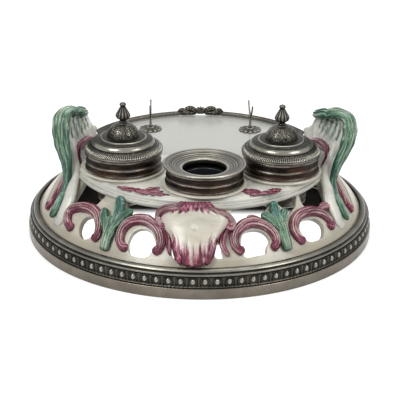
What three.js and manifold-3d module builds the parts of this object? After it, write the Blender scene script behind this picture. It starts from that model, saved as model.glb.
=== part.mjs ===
// Desk inkstand: a round glazed earthenware stand with a pierced scrollwork apron and two leaf
// handles, held in a silver foot ring, with a pen tray, two pen rests and three silver-mounted wells.
// Millimetres, +Z up, front towards -Y, origin on the ground at the middle of the foot ring.
import * as THREE from "three";
import { mergeVertices } from "three/addons/utils/BufferGeometryUtils.js";
import Module from "manifold-3d";

const wasm = await Module();
wasm.setup();

const clearance = 0.3; // gap between pieces that touch

// Silver foot ring
const footRadius = 160;
const footBandHeight = 9.5;
const footBandDepth = 10; // of its channel section, inwards
const sheetThickness = 2.2; // silver sheet of the channel
const eggBandHeight = 9.2;
const eggBandInset = 1.4; // egg band behind the foot band
const eggBandDepth = 5.6;
const mouldingRise = 3; // of the top moulding above its seat
const mouldingInset = 3; // top moulding behind the foot band
const seatThickness = 2.6; // flange that carries the earthenware

// Pierced apron
const seatInset = 10; // its foot behind the foot band
const neckInset = 2; // its neck behind the deck's lip
const apronWall = 6.5;
const apronSway = 0.03; // how far the apron's slope swells, as a share of its run
const deckUnderside = 62;

// Deck with the pen tray
const deckRadius = 117.5; // of the moulded lip
const deckLipHeight = 8.5; // from the underside to the tray floor
const deckPlate = 6; // thickness of the tray floor
const deckShoulder = 4.5; // how far the top edge stands behind the lip
const terraceRise = 2; // front terrace above the tray floor
const terraceBack = -8; // the terrace's rear edge, along Y

// Wells
// their places are shares of the deck's radius, to the right and to the back
const wellSpots = { left: [-0.5787, -0.383], right: [0.6085, -0.4085], centre: [0.034, -0.6894] };
const cupRadius = 24;
const cupWall = 2.6;
const cupDepth = 27; // below the terrace
const wellGap = 2.1; // between the plinths of the right and centre wells
const plinthHeight = 2;
const collarStep = 2.1; // collar behind the plinth's edge
const collarHeight = 15.4;
const collarWall = 2.4;
const collarFloor = 2;
const linerGap = 1.2; // between the liner and its cup
const linerWall = 2;
const linerLip = 2.6; // overhang of the liner's lip
const linerLipHeight = 3;

// Domed lids
const lidRimHeight = 4.2;
const lidSkirt = 4;
const lidWall = 1.6;
const shoulderStep = 6.9; // widest part of the stepped shoulder behind the collar
const shoulderRise = 7.5; // lid seat to the widest part of the stepped shoulder
const domeRadius = 14.3;
const domeBaseRise = 13; // lid seat to the foot of the small dome
const domeHeight = 12.5;
const finialHeight = 18;
const finialRadius = 6.3;
const studRadius = 1.6;
const nutRadius = 3.6;
const nutHeight = 2.4;

// Open dish of the centre well
const dishOverhang = 1.8; // of its rim beyond the collar
const dishMouthRadius = 19;
const dishRimHeight = 1.6;
const dishDrop = 4.4; // from the rim down to the mouth
const dishWall = 1.6;

// Pen rests
const restSpots = { left: [-0.4128, 0.5787], right: [0.4128, 0.5787] }; // shares of the deck's radius
const rosetteRadius = 11;
const rosetteHeight = 2.2;
const forkStem = 14; // tray floor to the fork's split
const forkHeight = 27.5;
const forkSpread = 20; // between the tips of the fork, front to back
const forkWire = 1.15;
const forkNutRadius = 3.4;

// Gallery of the tray
const galleryInset = 5.9; // middle of the rail behind the deck's lip
const galleryWidth = 5;
const galleryHeight = 4.4;
const galleryHalfSweep = 62; // degrees each side of the back
const crestHalfSweep = 12.5; // degrees each side of the back
const crestHeight = 10;

// Handles: a wing that rises from the deck's side and curls in at its top. Angles are degrees
// round from the front.
const wingFrontAngle = 67; // at the foot of its front edge
const wingLean = 16.5; // how far the front edge leans back as it rises
const wingRearAngle = 114;
const wingThickness = 6.5;
const wingFoot = { front: 6.5, middle: -19.5, rear: -8.5 }; // out from the deck's lip
const wingTip = -9.5; // out from the deck's lip
const wingBulge = { left: 5, right: 12, rear: 2 }; // how far it swells outwards at mid height
const wingRise = { front: 48.5, rear: 17 }; // above the deck's underside
const wingHook = 7; // how far the curled tip drops below the crown
const legWidth = 13;
const legDepth = 8;
const legFootAngle = 62;
const footRise = 9; // of the feet of the leg, leaf and petal above the apron's seat
const leafWidth = 17.5;
const leafLift = 4; // middle of its foot above the apron
const leafThickness = 4.4;
const petalWidth = 17;
const petalDepth = 4;
const petalSweep = [75, 98]; // degrees round from the front
const voluteWidth = 8.4; // of the volute on the wing's inner face
const voluteDepth = 4.6;
const voluteCourse = [
  [0.24, 0.56], [0.26, 0.42], [0.25, 0.27], [0.22, 0.16], [0.15, 0.11], [0.09, 0.13],
]; // shares of the wing's height and width

const silver = { color: 0x8d8a80, roughness: 0.34, metalness: 1 };
const cream = { color: 0xe4ddca, roughness: 0.22, metalness: 0 };
const puce = { color: 0xa8486f, roughness: 0.22, metalness: 0 };
const green = { color: 0x4f8f73, roughness: 0.22, metalness: 0 };
const glass = { color: 0x2c3230, roughness: 0.08, metalness: 0 };

// Facets of the turned pieces
const ringSides = 48;
const wellSides = 20;
const smallSides = 12;

const inkstand = new THREE.Group();
inkstand.name = "inkstand";

// Closed solid from points and triangles, its faces turned outwards.
function closedSolid(points, triangles) {
  const geometry = new THREE.BufferGeometry().setFromPoints(points);
  geometry.setIndex(triangles);
  return solidOf(geometry);
}

// Solid of a geometry: shared points merged, collapsed faces dropped, faces turned outwards.
function solidOf(geometry) {
  const bare = geometry.clone();
  bare.deleteAttribute("normal");
  bare.deleteAttribute("uv");
  const merged = mergeVertices(bare, 1e-4);
  const corners = merged.index.array;
  const kept = [];
  for (let i = 0; i < corners.length; i += 3) {
    const [a, b, c] = corners.slice(i, i + 3);
    if (a !== b && b !== c && c !== a) kept.push(a, b, c);
  }
  const vertProperties = new Float32Array(merged.attributes.position.array);
  const build = (list) =>
    new wasm.Manifold(
      new wasm.Mesh({ numProp: 3, vertProperties, triVerts: new Uint32Array(list) }),
    );
  const made = build(kept);
  return made.volume() > 0 ? made : build(kept.reverse());
}

// Turned solid: a closed profile of [radius, height] corners spun round the vertical axis.
function turned(profile, segments) {
  const corners = [...profile, profile[0]].map(([r, z]) => new THREE.Vector2(r, z));
  return solidOf(new THREE.LatheGeometry(corners, segments).rotateX(Math.PI / 2));
}

// Plate: a curved surface point(u, v) given thickness(u, v), with its rim closed.
function plate(point, thickness, across, along, grow = 0) {
  const step = 1e-3;
  const front = [];
  const back = [];
  for (let i = 0; i <= across; i++) {
    for (let j = 0; j <= along; j++) {
      const u = i / across;
      const v = j / along;
      const here = point(u, v);
      const du = point(u + step, v).sub(point(u - step, v)).normalize();
      const dv = point(u, v + step).sub(point(u, v - step)).normalize();
      const normal = new THREE.Vector3().crossVectors(du, dv).normalize();
      if (i === 0 || i === across) here.addScaledVector(du, i ? grow : -grow);
      if (j === 0 || j === along) here.addScaledVector(dv, j ? grow : -grow);
      const half = thickness(u, v) / 2 + grow;
      front.push(here.clone().addScaledVector(normal, half));
      back.push(here.clone().addScaledVector(normal, -half));
    }
  }
  const row = along + 1;
  const behind = front.length;
  const triangles = [];
  const quad = (a, b, c, d) => triangles.push(a, b, c, a, c, d);
  for (let i = 0; i < across; i++) {
    for (let j = 0; j < along; j++) {
      const a = i * row + j;
      quad(a, a + row, a + row + 1, a + 1);
      quad(behind + a, behind + a + 1, behind + a + row + 1, behind + a + row);
    }
  }
  for (let i = 0; i < across; i++) {
    const a = i * row;
    const b = a + along;
    quad(a, behind + a, behind + a + row, a + row);
    quad(b, b + row, behind + b + row, behind + b);
  }
  for (let j = 0; j < along; j++) {
    const b = across * row + j;
    quad(j, j + 1, behind + j + 1, behind + j);
    quad(b, behind + b, behind + b + 1, b + 1);
  }
  return closedSolid([...front, ...back], triangles);
}

// Carried solid: an oval section taken along path(t), its depth along outward(t).
function carried(path, outward, halfWidth, halfDepth, steps, sides, grow = 0) {
  const points = [];
  const triangles = [];
  for (let i = 0; i <= steps; i++) {
    const t = i / steps;
    const tangent = path(Math.min(t + 0.01, 1)).sub(path(Math.max(t - 0.01, 0))).normalize();
    const depth = outward(t).clone();
    depth.addScaledVector(tangent, -depth.dot(tangent)).normalize();
    const width = new THREE.Vector3().crossVectors(tangent, depth);
    const here = path(t);
    if (i === 0 || i === steps) here.addScaledVector(tangent, i ? grow : -grow);
    for (let j = 0; j < sides; j++) {
      const turn = (2 * Math.PI * (j + 0.5)) / sides;
      points.push(
        here
          .clone()
          .addScaledVector(width, (halfWidth(t) + grow) * Math.cos(turn))
          .addScaledVector(depth, (halfDepth(t) + grow) * Math.sin(turn)),
      );
    }
    if (i === steps) break;
    for (let j = 0; j < sides; j++) {
      const a = i * sides + j;
      const b = i * sides + ((j + 1) % sides);
      triangles.push(a, b, b + sides, a, b + sides, a + sides);
    }
  }
  const last = steps * sides;
  for (let j = 1; j < sides - 1; j++) {
    triangles.push(0, j + 1, j);
    triangles.push(last, last + j, last + j + 1);
  }
  return closedSolid(points, triangles);
}

function addPiece(name, solid, look, place = [0, 0, 0]) {
  const mesh = solid.getMesh();
  const geometry = new THREE.BufferGeometry();
  geometry.setAttribute(
    "position",
    new THREE.BufferAttribute(new Float32Array(mesh.vertProperties), 3),
  );
  geometry.setIndex(new THREE.BufferAttribute(new Uint32Array(mesh.triVerts), 1));
  geometry.computeVertexNormals();
  const piece = new THREE.Mesh(geometry, new THREE.MeshStandardMaterial(look));
  piece.name = name;
  piece.position.set(...place);
  inkstand.add(piece);
  return piece;
}

// A cut leaves one body: slivers that a tool shaves off are swept away.
function cut(solid, ...tools) {
  const bodies = tools.reduce((left, tool) => left.subtract(tool), solid).decompose();
  return bodies.sort((a, b) => b.volume() - a.volume())[0];
}
const join = (solid, ...others) => others.reduce((whole, other) => whole.add(other), solid);
const moved = (solid, [x, y]) => solid.translate([x, y, 0]);
const mix = (a, b, t) => a + (b - a) * t;
const radians = THREE.MathUtils.degToRad;

// Heights that follow from the sizes above
const eggBandBase = footBandHeight + clearance;
const seatBase = eggBandBase + eggBandHeight + clearance;
const seatTop = seatBase + seatThickness;
const apronBase = seatTop + clearance;
const trayTop = deckUnderside + deckLipHeight;
const terraceTop = trayTop + terraceRise;
const plinthTop = terraceTop + clearance + plinthHeight;
const collarBase = plinthTop + clearance;
const collarTop = collarBase + collarHeight;
const lidBase = collarTop + clearance;
const mouldingRadius = footRadius - mouldingInset;
const seatRadius = footRadius - seatInset;
const neckRadius = deckRadius - neckInset;
const galleryRadius = deckRadius - galleryInset;
const onDeck = ([x, y]) => [x * deckRadius, y * deckRadius];
const sideWells = { left: onDeck(wellSpots.left), right: onDeck(wellSpots.right) };
const centreWell = onDeck(wellSpots.centre);
const wellPitch = Math.hypot(...sideWells.right.map((place, axis) => place - centreWell[axis]));
const plinthRadius = (wellPitch - wellGap) / 2;
const collarRadius = plinthRadius - collarStep;
const collarInner = collarRadius - collarWall;
const shoulderRadius = collarRadius - shoulderStep;
const dishRimRadius = collarRadius + dishOverhang;

// Apron surface: radius at a height, and a point on it at an angle from the front, raised off it.
function apronRadius(z) {
  const t = (z - apronBase) / (deckUnderside - apronBase);
  return mix(seatRadius, neckRadius, t - apronSway * Math.sin(2 * Math.PI * t));
}
function apronNormal(angle, z) {
  const slope = apronRadius(z + 0.5) - apronRadius(z - 0.5);
  const turn = radians(angle);
  return new THREE.Vector3(Math.sin(turn), -Math.cos(turn), -slope).normalize();
}
function onApron(angle, z, out = 0) {
  const turn = radians(angle);
  const r = apronRadius(z);
  const point = new THREE.Vector3(r * Math.sin(turn), -r * Math.cos(turn), z);
  return point.addScaledVector(apronNormal(angle, z), out);
}

// Point at a radius, an angle from the front and a height, on the left or the right side
function aroundSide(side, radius, angle, z) {
  const turn = radians(angle) * side;
  return new THREE.Vector3(radius * Math.sin(turn), -radius * Math.cos(turn), z);
}

// Path on the apron through [angle, height] points
function apronPath(points, out) {
  const curve = new THREE.CatmullRomCurve3(points.map(([a, z]) => new THREE.Vector3(a, z, 0)));
  return {
    place: (t) => onApron(curve.getPointAt(t).x, curve.getPointAt(t).y, out(t)),
    outward: (t) => apronNormal(curve.getPointAt(t).x, curve.getPointAt(t).y),
  };
}

// C-scrolls: the middle line of each on the apron, from one turned-in end to the other
const scrollWidth = 10;
const scrollDepth = 7.6;
const scrollOut = 0.8; // centre of the scroll above the apron surface
const scrolls = {
  left_inner_scroll: [
    [-27, 32.4], [-28.9, 36.6], [-29.6, 41], [-28.8, 46.4], [-26.4, 50.4], [-22.8, 52],
    [-19, 50.6], [-16.1, 47.2], [-14.3, 42.9], [-13.6, 38.2], [-14.6, 33.2],
  ],
  right_inner_scroll: [
    [26.8, 33], [28.3, 37.8], [28.1, 42], [26.6, 46.6], [24, 49.8], [20.8, 51.1],
    [17.6, 50.4], [14.8, 47.4], [13, 43.6], [12.5, 39], [13.8, 33.6],
  ],
  left_outer_scroll: [
    [-53.2, 32.6], [-56.4, 36.2], [-57.5, 41.4], [-55.4, 45.5], [-51.5, 48.1],
    [-47.4, 48.9], [-43.5, 47.2], [-40.6, 43.2], [-39, 38.7], [-38.9, 32.2],
  ],
  right_outer_scroll: [
    [38.3, 31.8], [36.9, 36.2], [36.9, 41], [38.6, 45.2], [41.4, 48],
    [45.3, 48.8], [49.7, 47.8], [53.2, 44.6], [55, 40.4], [54.6, 33.4],
  ],
};
function scrollSolid(points, grow) {
  const { place, outward } = apronPath(points, () => scrollOut);
  const swell = (t) => 0.62 + 0.38 * Math.max(Math.sin(Math.PI * t), 0) ** 0.7;
  const half = (t) => (scrollWidth / 2) * swell(t);
  return carried(place, outward, half, (t) => (scrollDepth / 2) * swell(t), 18, 8, grow);
}

// Narrow leaf between an inner scroll and the cartouche
const narrowLeafWidth = 5.4;
const narrowLeaves = {
  left_narrow_leaf: [[-14.6, 48.6], [-12.2, 46], [-10.9, 41.8], [-10.5, 37.1], [-9.9, 31.6]],
  right_narrow_leaf: [[12, 48.8], [9.6, 46], [8.3, 40.9], [8.5, 36.2], [10, 31]],
};
function narrowLeafSolid(points, grow) {
  const { place, outward } = apronPath(points, () => scrollOut);
  const half = (t) => (narrowLeafWidth / 2) * (0.45 + 0.55 * Math.sin(Math.PI * t));
  return carried(place, outward, half, (t) => half(t) * 1.2, 8, 6, grow);
}

// Leaf stem: a stalk that opens into three leaflets under the deck
const stemWidth = 9;
const stemDepth = 6;
const leafletCurl = 4.5; // how far the leaflets' tips stand off the apron
const stems = {
  left_leaf_stem: {
    stalk: [[-33.2, 26.8], [-34.1, 38.5], [-34.9, 50]],
    leaflets: [
      [[-34.6, 38], [-37, 43], [-39.4, 48.5], [-40.3, 53]],
      [[-34.4, 43], [-33.9, 51], [-33.9, 58], [-34.9, 64]],
      [[-33.9, 38], [-32.4, 45], [-30.6, 51.4], [-27.6, 56.6]],
    ],
  },
  right_leaf_stem: {
    stalk: [[31.2, 28.6], [31.4, 40], [31.5, 51]],
    leaflets: [
      [[30.9, 40], [29.7, 46.5], [27.8, 51.6], [25, 55.2]],
      [[31.4, 43], [31.1, 49.5], [31.2, 56], [31.3, 62.4]],
      [[31.9, 40], [32.8, 46], [34.4, 50.6], [36.4, 55]],
    ],
  },
};
function stemSolid({ stalk, leaflets }, grow) {
  const main = apronPath(stalk, () => scrollOut + 0.6);
  const stalkHalf = (t) => (stemWidth / 2) * (0.9 + 0.4 * t);
  const body = carried(main.place, main.outward, stalkHalf, () => stemDepth / 2, 7, 8, grow);
  const blades = leaflets.map((points) => {
    const blade = apronPath(points, (t) => scrollOut + 1.2 + leafletCurl * t ** 2);
    const half = (t) => (stemWidth / 2) * (0.5 + 0.5 * Math.sin(Math.PI * t ** 1.4));
    return carried(blade.place, blade.outward, half, () => stemDepth * 0.38, 7, 8, grow);
  });
  return join(body, ...blades);
}

// Openings of the apron, as outlines of [angle, height] points, cut square through its wall
const windowOutlines = [
  [
    [-25.6, 38], [-24.1, 44.6], [-21.9, 46], [-19.4, 45.6], [-16.4, 40], [-15.4, 35.7],
    [-17.4, 30], [-23.4, 30],
  ],
  [[-49.2, 38.5], [-48.6, 42.4], [-46.4, 44.6], [-43.8, 43.4], [-40.9, 37], [-43, 31.2], [-46, 31.6]],
  [[-32.8, 62.6], [-17, 62.6], [-15.4, 57], [-13.8, 52.8], [-17.5, 51.4], [-24.2, 55.2], [-30.4, 54.8]],
  [[-9.5, 41.4], [-7.8, 40], [-7.3, 34], [-8.4, 30.6], [-9.6, 35.7]],
  [[-63.8, 62.6], [-46.2, 62.6], [-46.2, 56.4], [-49, 52.2], [-57, 47.4], [-61.6, 46.6], [-63.4, 52.5]],
  [
    [15.8, 42.8], [17.4, 45.4], [20.8, 46.2], [23.9, 44.6], [25.6, 40], [24, 33.6],
    [22, 30.4], [15.8, 30.8], [15, 38],
  ],
  [[40, 40.8], [41.8, 43.8], [45.3, 44.6], [49.6, 42.4], [51.4, 38], [48.6, 31.4], [41.6, 31.4], [40, 36]],
  [[13.4, 62.6], [30.2, 62.6], [28.2, 57.2], [24.4, 53], [19, 52.8], [14.4, 50.2], [13.4, 55]],
  [[6.3, 40], [7.5, 39.4], [7.7, 34], [6.6, 30.8], [5.4, 36]],
  [[34.6, 62.6], [45.4, 62.6], [44.2, 56], [40.6, 52.6], [37.6, 51.4], [36.6, 56]],
  [[48.4, 62.6], [65.8, 62.6], [65.4, 52.5], [61.4, 47.4], [53.4, 49], [49.4, 50.8], [47.8, 55]],
];

function windowSolid(outline) {
  const places = outline.map(([a, z]) => new THREE.Vector3(a, z, 0));
  const rounded = new THREE.CatmullRomCurve3(places, true).getPoints(outline.length * 2).slice(0, -1);
  const shape = new THREE.Shape(rounded.map(({ x, y }) => new THREE.Vector2(x, y)));
  const slab = new THREE.ExtrudeGeometry(shape, { depth: 1, bevelEnabled: false });
  const position = slab.attributes.position;
  for (let i = 0; i < position.count; i++) {
    const turn = radians(position.getX(i));
    const z = position.getY(i);
    const r = apronRadius(z) + mix(-2 * apronWall, apronWall, position.getZ(i));
    position.setXYZ(i, r * Math.sin(turn), -r * Math.cos(turn), z);
  }
  return solidOf(slab);
}

// Everything that the relief outside must stand clear of: foot ring, apron and deck, filled in
const deckEdge = [
  [deckRadius - 1.2, deckUnderside],
  [deckRadius, deckUnderside + 1.2],
  [deckRadius, deckUnderside + 3],
  [deckRadius - 1.6, deckUnderside + 4],
  [deckRadius - 2.2, trayTop - 1.9],
  [deckRadius - deckShoulder, trayTop],
];
const apronTop = deckUnderside - clearance;
const apronSteps = [0, 1, 2, 3, 4].map((i) => mix(apronBase, apronTop, i / 4));
const terraceRadius = deckRadius - deckShoulder;
const coreClear = turned(
  [
    [0, 1],
    [mouldingRadius + clearance, 1],
    [mouldingRadius + clearance, seatTop + mouldingRise + clearance],
    ...apronSteps
      .filter((z) => z > seatTop + mouldingRise + 1)
      .map((z) => [apronRadius(z) + 1.5 * clearance, z]),
    ...deckEdge.map(([r, z]) => [r + clearance, z - (z === deckUnderside ? clearance : 0)]),
    [terraceRadius + clearance, terraceTop + clearance],
    [0, terraceTop + clearance],
  ],
  ringSides,
);

// Silver foot ring, three bands high
addPiece(
  "foot_band",
  turned(
    [
      [footRadius, 0],
      [footRadius, footBandHeight],
      [footRadius - footBandDepth, footBandHeight],
      [footRadius - footBandDepth, footBandHeight - sheetThickness],
      [footRadius - sheetThickness, footBandHeight - sheetThickness],
      [footRadius - sheetThickness, sheetThickness],
      [footRadius - footBandDepth, sheetThickness],
      [footRadius - footBandDepth, 0],
    ],
    ringSides,
  ),
  silver,
);
const eggRadius = footRadius - eggBandInset;
addPiece(
  "egg_band",
  turned(
    [
      [eggRadius - eggBandDepth, eggBandBase],
      [eggRadius - 1.6, eggBandBase],
      [eggRadius, eggBandBase + 0.3 * eggBandHeight],
      [eggRadius, eggBandBase + 0.7 * eggBandHeight],
      [eggRadius - 1.6, eggBandBase + eggBandHeight],
      [eggRadius - eggBandDepth, eggBandBase + eggBandHeight],
    ],
    ringSides,
  ),
  silver,
);
addPiece(
  "top_moulding",
  turned(
    [
      [seatRadius - apronWall - 3, seatBase],
      [mouldingRadius, seatBase],
      [mouldingRadius, seatTop - 0.6],
      [mouldingRadius - 2.6, seatTop + 0.4],
      [mouldingRadius - 3.4, seatTop + mouldingRise],
      [seatRadius + clearance, seatTop + mouldingRise],
      [seatRadius + clearance, seatTop],
      [seatRadius - apronWall - 3, seatTop],
    ],
    ringSides,
  ),
  silver,
);

// Apron wall with its windows, and beds for the scrolls, leaves and stems
const windows = windowOutlines.map(windowSolid);
const beds = [
  ...Object.values(scrolls).map((points) => scrollSolid(points, clearance)),
  ...Object.values(narrowLeaves).map((points) => narrowLeafSolid(points, clearance)),
  ...Object.values(stems).map((stem) => stemSolid(stem, clearance)),
];
const wallProfile = [
  ...apronSteps.map((z) => [apronRadius(z), z]),
  ...[...apronSteps].reverse().map((z) => [apronRadius(z) - apronWall, z]),
];
addPiece("apron_wall", cut(turned(wallProfile, ringSides), ...windows, ...beds), cream);
for (const [name, points] of Object.entries(scrolls)) addPiece(name, scrollSolid(points, 0), puce);
const deckClear = turned(
  [
    [0, deckUnderside - clearance],
    [deckRadius - 1.2, deckUnderside - clearance],
    ...deckEdge.slice(1).map(([r, z]) => [r + clearance, z]),
    [0, trayTop],
  ],
  ringSides,
);
const scrollTools = Object.values(scrolls).map((points) => scrollSolid(points, clearance));
for (const [name, points] of Object.entries(narrowLeaves))
  addPiece(name, cut(narrowLeafSolid(points, 0), ...scrollTools), puce);
for (const [name, stem] of Object.entries(stems))
  addPiece(name, cut(stemSolid(stem, 0), ...scrollTools, deckClear), green);

// Cartouche: a bulging shield from the deck's edge down to a pointed foot over the foot ring
const cartoucheThickness = 5;
const cartoucheBulge = 8;
const cartoucheTop = terraceTop - 0.5;
const cartoucheFoot = seatTop + mouldingRise + 2;
const cartoucheMiddle = -1.9; // degrees from the front
// half its width, in degrees, at heights from the foot upwards
const cartoucheHalf = [
  [26, 6.6], [36, 7.2], [42, 8], [50, 10.4], [54, 12.2], [57, 13.2], [60, 12.8], [66, 8.8], [73, 5.2],
];
function halfAngle(z) {
  const i = Math.min(cartoucheHalf.findIndex(([at]) => at >= z), cartoucheHalf.length - 1) || 1;
  const [z0, a0] = cartoucheHalf[Math.max(i, 1) - 1];
  const [z1, a1] = cartoucheHalf[Math.max(i, 1)];
  return mix(a0, a1, (z - z0) / (z1 - z0));
}
function cartouchePoint(u, v) {
  const z = mix(cartoucheTop, cartoucheFoot, u);
  const across = 2 * v - 1;
  const lift = Math.max(Math.sin(Math.PI * u), 0) ** 0.6;
  const out = cartoucheBulge * Math.sqrt(Math.max(1 - across ** 2, 0)) * lift;
  const turn = radians(cartoucheMiddle + across * halfAngle(z));
  const r = Math.max(apronRadius(z), deckRadius + 0.5) + out + cartoucheThickness / 2 + 1.4;
  return new THREE.Vector3(r * Math.sin(turn), -r * Math.cos(turn), z);
}
// Curled bracket along each shoulder of the cartouche, through [angle, height] points
const bracketWire = 4.6;
const brackets = {
  left_bracket: [
    [-6, 71.3], [-8.8, 68.6], [-11.9, 67], [-14.6, 64.3], [-16, 59.9], [-15.7, 55.1], [-13.7, 52.4],
  ],
  right_bracket: [
    [1.6, 71.4], [3.4, 68.2], [5.6, 65.2], [8.6, 62.5], [11.2, 58.9], [12.7, 54.5], [11.9, 51.6],
  ],
};
function bracketSolid(points, grow) {
  const curve = new THREE.CatmullRomCurve3(
    points.map(([angle, z]) => {
      const r = Math.max(apronRadius(z), deckRadius + 0.5) + cartoucheThickness / 2 + 4.4;
      return aroundSide(1, r, angle, z);
    }),
  );
  const half = (t) => (bracketWire / 2) * (0.8 + 0.3 * t);
  return carried((t) => curve.getPoint(t), () => apronNormal(0, 60), half, half, 12, 6, grow);
}
for (const [name, points] of Object.entries(brackets))
  addPiece(name, cut(bracketSolid(points, 0), ...scrollTools), puce);
const plinthClear = moved(
  turned(
    [
      [0, trayTop],
      [plinthRadius + clearance, trayTop],
      [plinthRadius + clearance, plinthTop + 1],
      [0, plinthTop + 1],
    ],
    wellSides,
  ),
  centreWell,
);
addPiece(
  "cartouche",
  cut(
    plate(cartouchePoint, () => cartoucheThickness, 14, 10),
    coreClear,
    plinthClear,
    ...scrollTools,
    ...Object.values(narrowLeaves).map((points) => narrowLeafSolid(points, clearance)),
    ...Object.values(brackets).map((points) => bracketSolid(points, clearance)),
  ),
  cream,
);

// Deck: the tray floor with a moulded lip, and a terrace in front that carries the wells
const box = (x0, y0, z0, x1, y1, z1) =>
  solidOf(
    new THREE.BoxGeometry(x1 - x0, y1 - y0, z1 - z0).translate((x0 + x1) / 2, (y0 + y1) / 2, (z0 + z1) / 2),
  );
const lipWidth = apronWall + 6;
const tray = turned(
  [
    [0, trayTop - deckPlate],
    [deckRadius - lipWidth - 2, trayTop - deckPlate],
    [deckRadius - lipWidth, deckUnderside],
    ...deckEdge,
    [0, trayTop],
  ],
  ringSides,
);
const terrace = turned(
  [
    [0, trayTop - 1],
    [terraceRadius, trayTop - 1],
    [terraceRadius, terraceTop - 0.6],
    [terraceRadius - 0.8, terraceTop],
    [0, terraceTop],
  ],
  ringSides,
).intersect(box(-footRadius, -footRadius, 0, footRadius, terraceBack, 2 * terraceTop));
const rod = (radius, bottom, top, sides) =>
  turned([[0, bottom], [radius, bottom], [radius, top], [0, top]], sides);
const wells = [...Object.values(sideWells), centreWell];
const rests = { left: onDeck(restSpots.left), right: onDeck(restSpots.right) };
const bores = [
  ...wells.map((place) => moved(rod(cupRadius + clearance, 0, 2 * terraceTop, wellSides), place)),
  ...Object.values(rests).map((place) =>
    moved(rod(forkWire + clearance, 0, 2 * terraceTop, 8), place),
  ),
];
addPiece("deck", cut(join(tray, terrace), ...bores), cream);

// Wells: a ceramic cup with its plinth, a silver collar and a lift-out glass liner
const cupInner = cupRadius - cupWall;
const cupFloor = terraceTop - cupDepth;
const linerRadius = cupInner - linerGap;
const linerSeat = collarBase + collarFloor + clearance;
const linerTop = linerSeat + linerLipHeight;
const linerFloor = cupFloor + cupWall + linerGap;
const cup = turned(
  [
    [0, cupFloor],
    [cupRadius - 2, cupFloor],
    [cupRadius, cupFloor + 2],
    [cupRadius, terraceTop + clearance],
    [plinthRadius, terraceTop + clearance],
    [plinthRadius, plinthTop - 0.7],
    [plinthRadius - 0.9, plinthTop],
    [cupInner, plinthTop],
    [cupInner, cupFloor + cupWall],
    [0, cupFloor + cupWall],
  ],
  wellSides,
);
const collar = turned(
  [
    [linerRadius + clearance, collarBase],
    [collarRadius - 0.4, collarBase],
    [collarRadius, collarBase + 1.4],
    [collarRadius - 1.6, collarBase + 3.2],
    [collarRadius - 0.8, collarBase + 0.455 * collarHeight],
    [collarRadius - 1.6, collarTop - 2.6],
    [collarRadius, collarTop - 1.3],
    [collarRadius, collarTop],
    [collarInner, collarTop],
    [collarInner, collarBase + collarFloor],
    [linerRadius + clearance, collarBase + collarFloor],
  ],
  wellSides,
);
const liner = turned(
  [
    [0, linerFloor],
    [linerRadius - 1.5, linerFloor],
    [linerRadius, linerFloor + 1.5],
    [linerRadius, linerSeat],
    [linerRadius + linerLip, linerSeat],
    [linerRadius + linerLip, linerTop],
    [linerRadius - linerWall, linerTop],
    [linerRadius - linerWall, linerFloor + linerWall],
    [0, linerFloor + linerWall],
  ],
  wellSides,
);

// Domed lid with a skirt that drops into the collar, its finial and the nut that holds it
const skirtRadius = collarInner - clearance;
const boreRadius = studRadius + clearance;
const domeBase = lidBase + domeBaseRise;
const lidTop = domeBase + domeHeight;
const shoulder = lidBase + shoulderRise;
const nutTop = lidTop - lidWall - clearance;
const lid = turned(
  [
    [skirtRadius - lidWall, lidBase - lidSkirt],
    [skirtRadius, lidBase - lidSkirt],
    [skirtRadius, lidBase],
    [collarRadius + 0.6, lidBase],
    [collarRadius - 0.2, lidBase + lidRimHeight],
    [shoulderRadius + 3.2, lidBase + lidRimHeight + 1],
    [shoulderRadius + 0.8, shoulder - 1.4],
    [shoulderRadius, shoulder],
    [shoulderRadius - 1.8, shoulder + 2.8],
    [mix(shoulderRadius, domeRadius, 0.72), domeBase - 0.4],
    [domeRadius, domeBase],
    [0.9 * domeRadius, domeBase + 0.4 * domeHeight],
    [0.66 * domeRadius, domeBase + 0.75 * domeHeight],
    [boreRadius + 3.2, lidTop - 0.3],
    [boreRadius, lidTop],
    [boreRadius, lidTop - lidWall],
    [boreRadius + 2.6, lidTop - lidWall],
    [0.6 * domeRadius, domeBase + 0.6 * domeHeight],
    [domeRadius - lidWall, domeBase - lidWall],
    [shoulderRadius - 1.8 - lidWall, shoulder + 1.2],
    [skirtRadius - lidWall, lidBase + 1],
  ],
  wellSides,
);
const finial = turned(
  [
    [0, nutTop - nutHeight - 1],
    [studRadius, nutTop - nutHeight - 1],
    [studRadius, lidTop + clearance],
    [studRadius + 1.7, lidTop + clearance],
    [studRadius + 0.8, lidTop + 0.1 * finialHeight],
    [0.72 * finialRadius, lidTop + 0.18 * finialHeight],
    [finialRadius, lidTop + 0.3 * finialHeight],
    [0.88 * finialRadius, lidTop + 0.44 * finialHeight],
    [0.5 * finialRadius, lidTop + 0.68 * finialHeight],
    [0.36 * finialRadius, lidTop + 0.8 * finialHeight],
    [0.46 * finialRadius, lidTop + 0.9 * finialHeight],
    [0.3 * finialRadius, lidTop + 0.98 * finialHeight],
    [0, lidTop + finialHeight],
  ],
  smallSides,
);
const nut = turned(
  [
    [boreRadius, nutTop - nutHeight],
    [nutRadius, nutTop - nutHeight],
    [nutRadius, nutTop],
    [boreRadius, nutTop],
  ],
  6,
);
for (const [side, place] of Object.entries(sideWells)) {
  addPiece(`${side}_well_cup`, moved(cup, place), cream);
  addPiece(`${side}_collar`, moved(collar, place), silver);
  addPiece(`${side}_liner`, moved(liner, place), glass);
  addPiece(`${side}_lid`, moved(lid, place), silver);
  addPiece(`${side}_finial`, moved(finial, place), silver);
  addPiece(`${side}_finial_nut`, moved(nut, place), silver);
}
addPiece("centre_well_cup", moved(cup, centreWell), cream);
addPiece("centre_collar", moved(collar, centreWell), silver);
addPiece("centre_liner", moved(liner, centreWell), glass);

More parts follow.
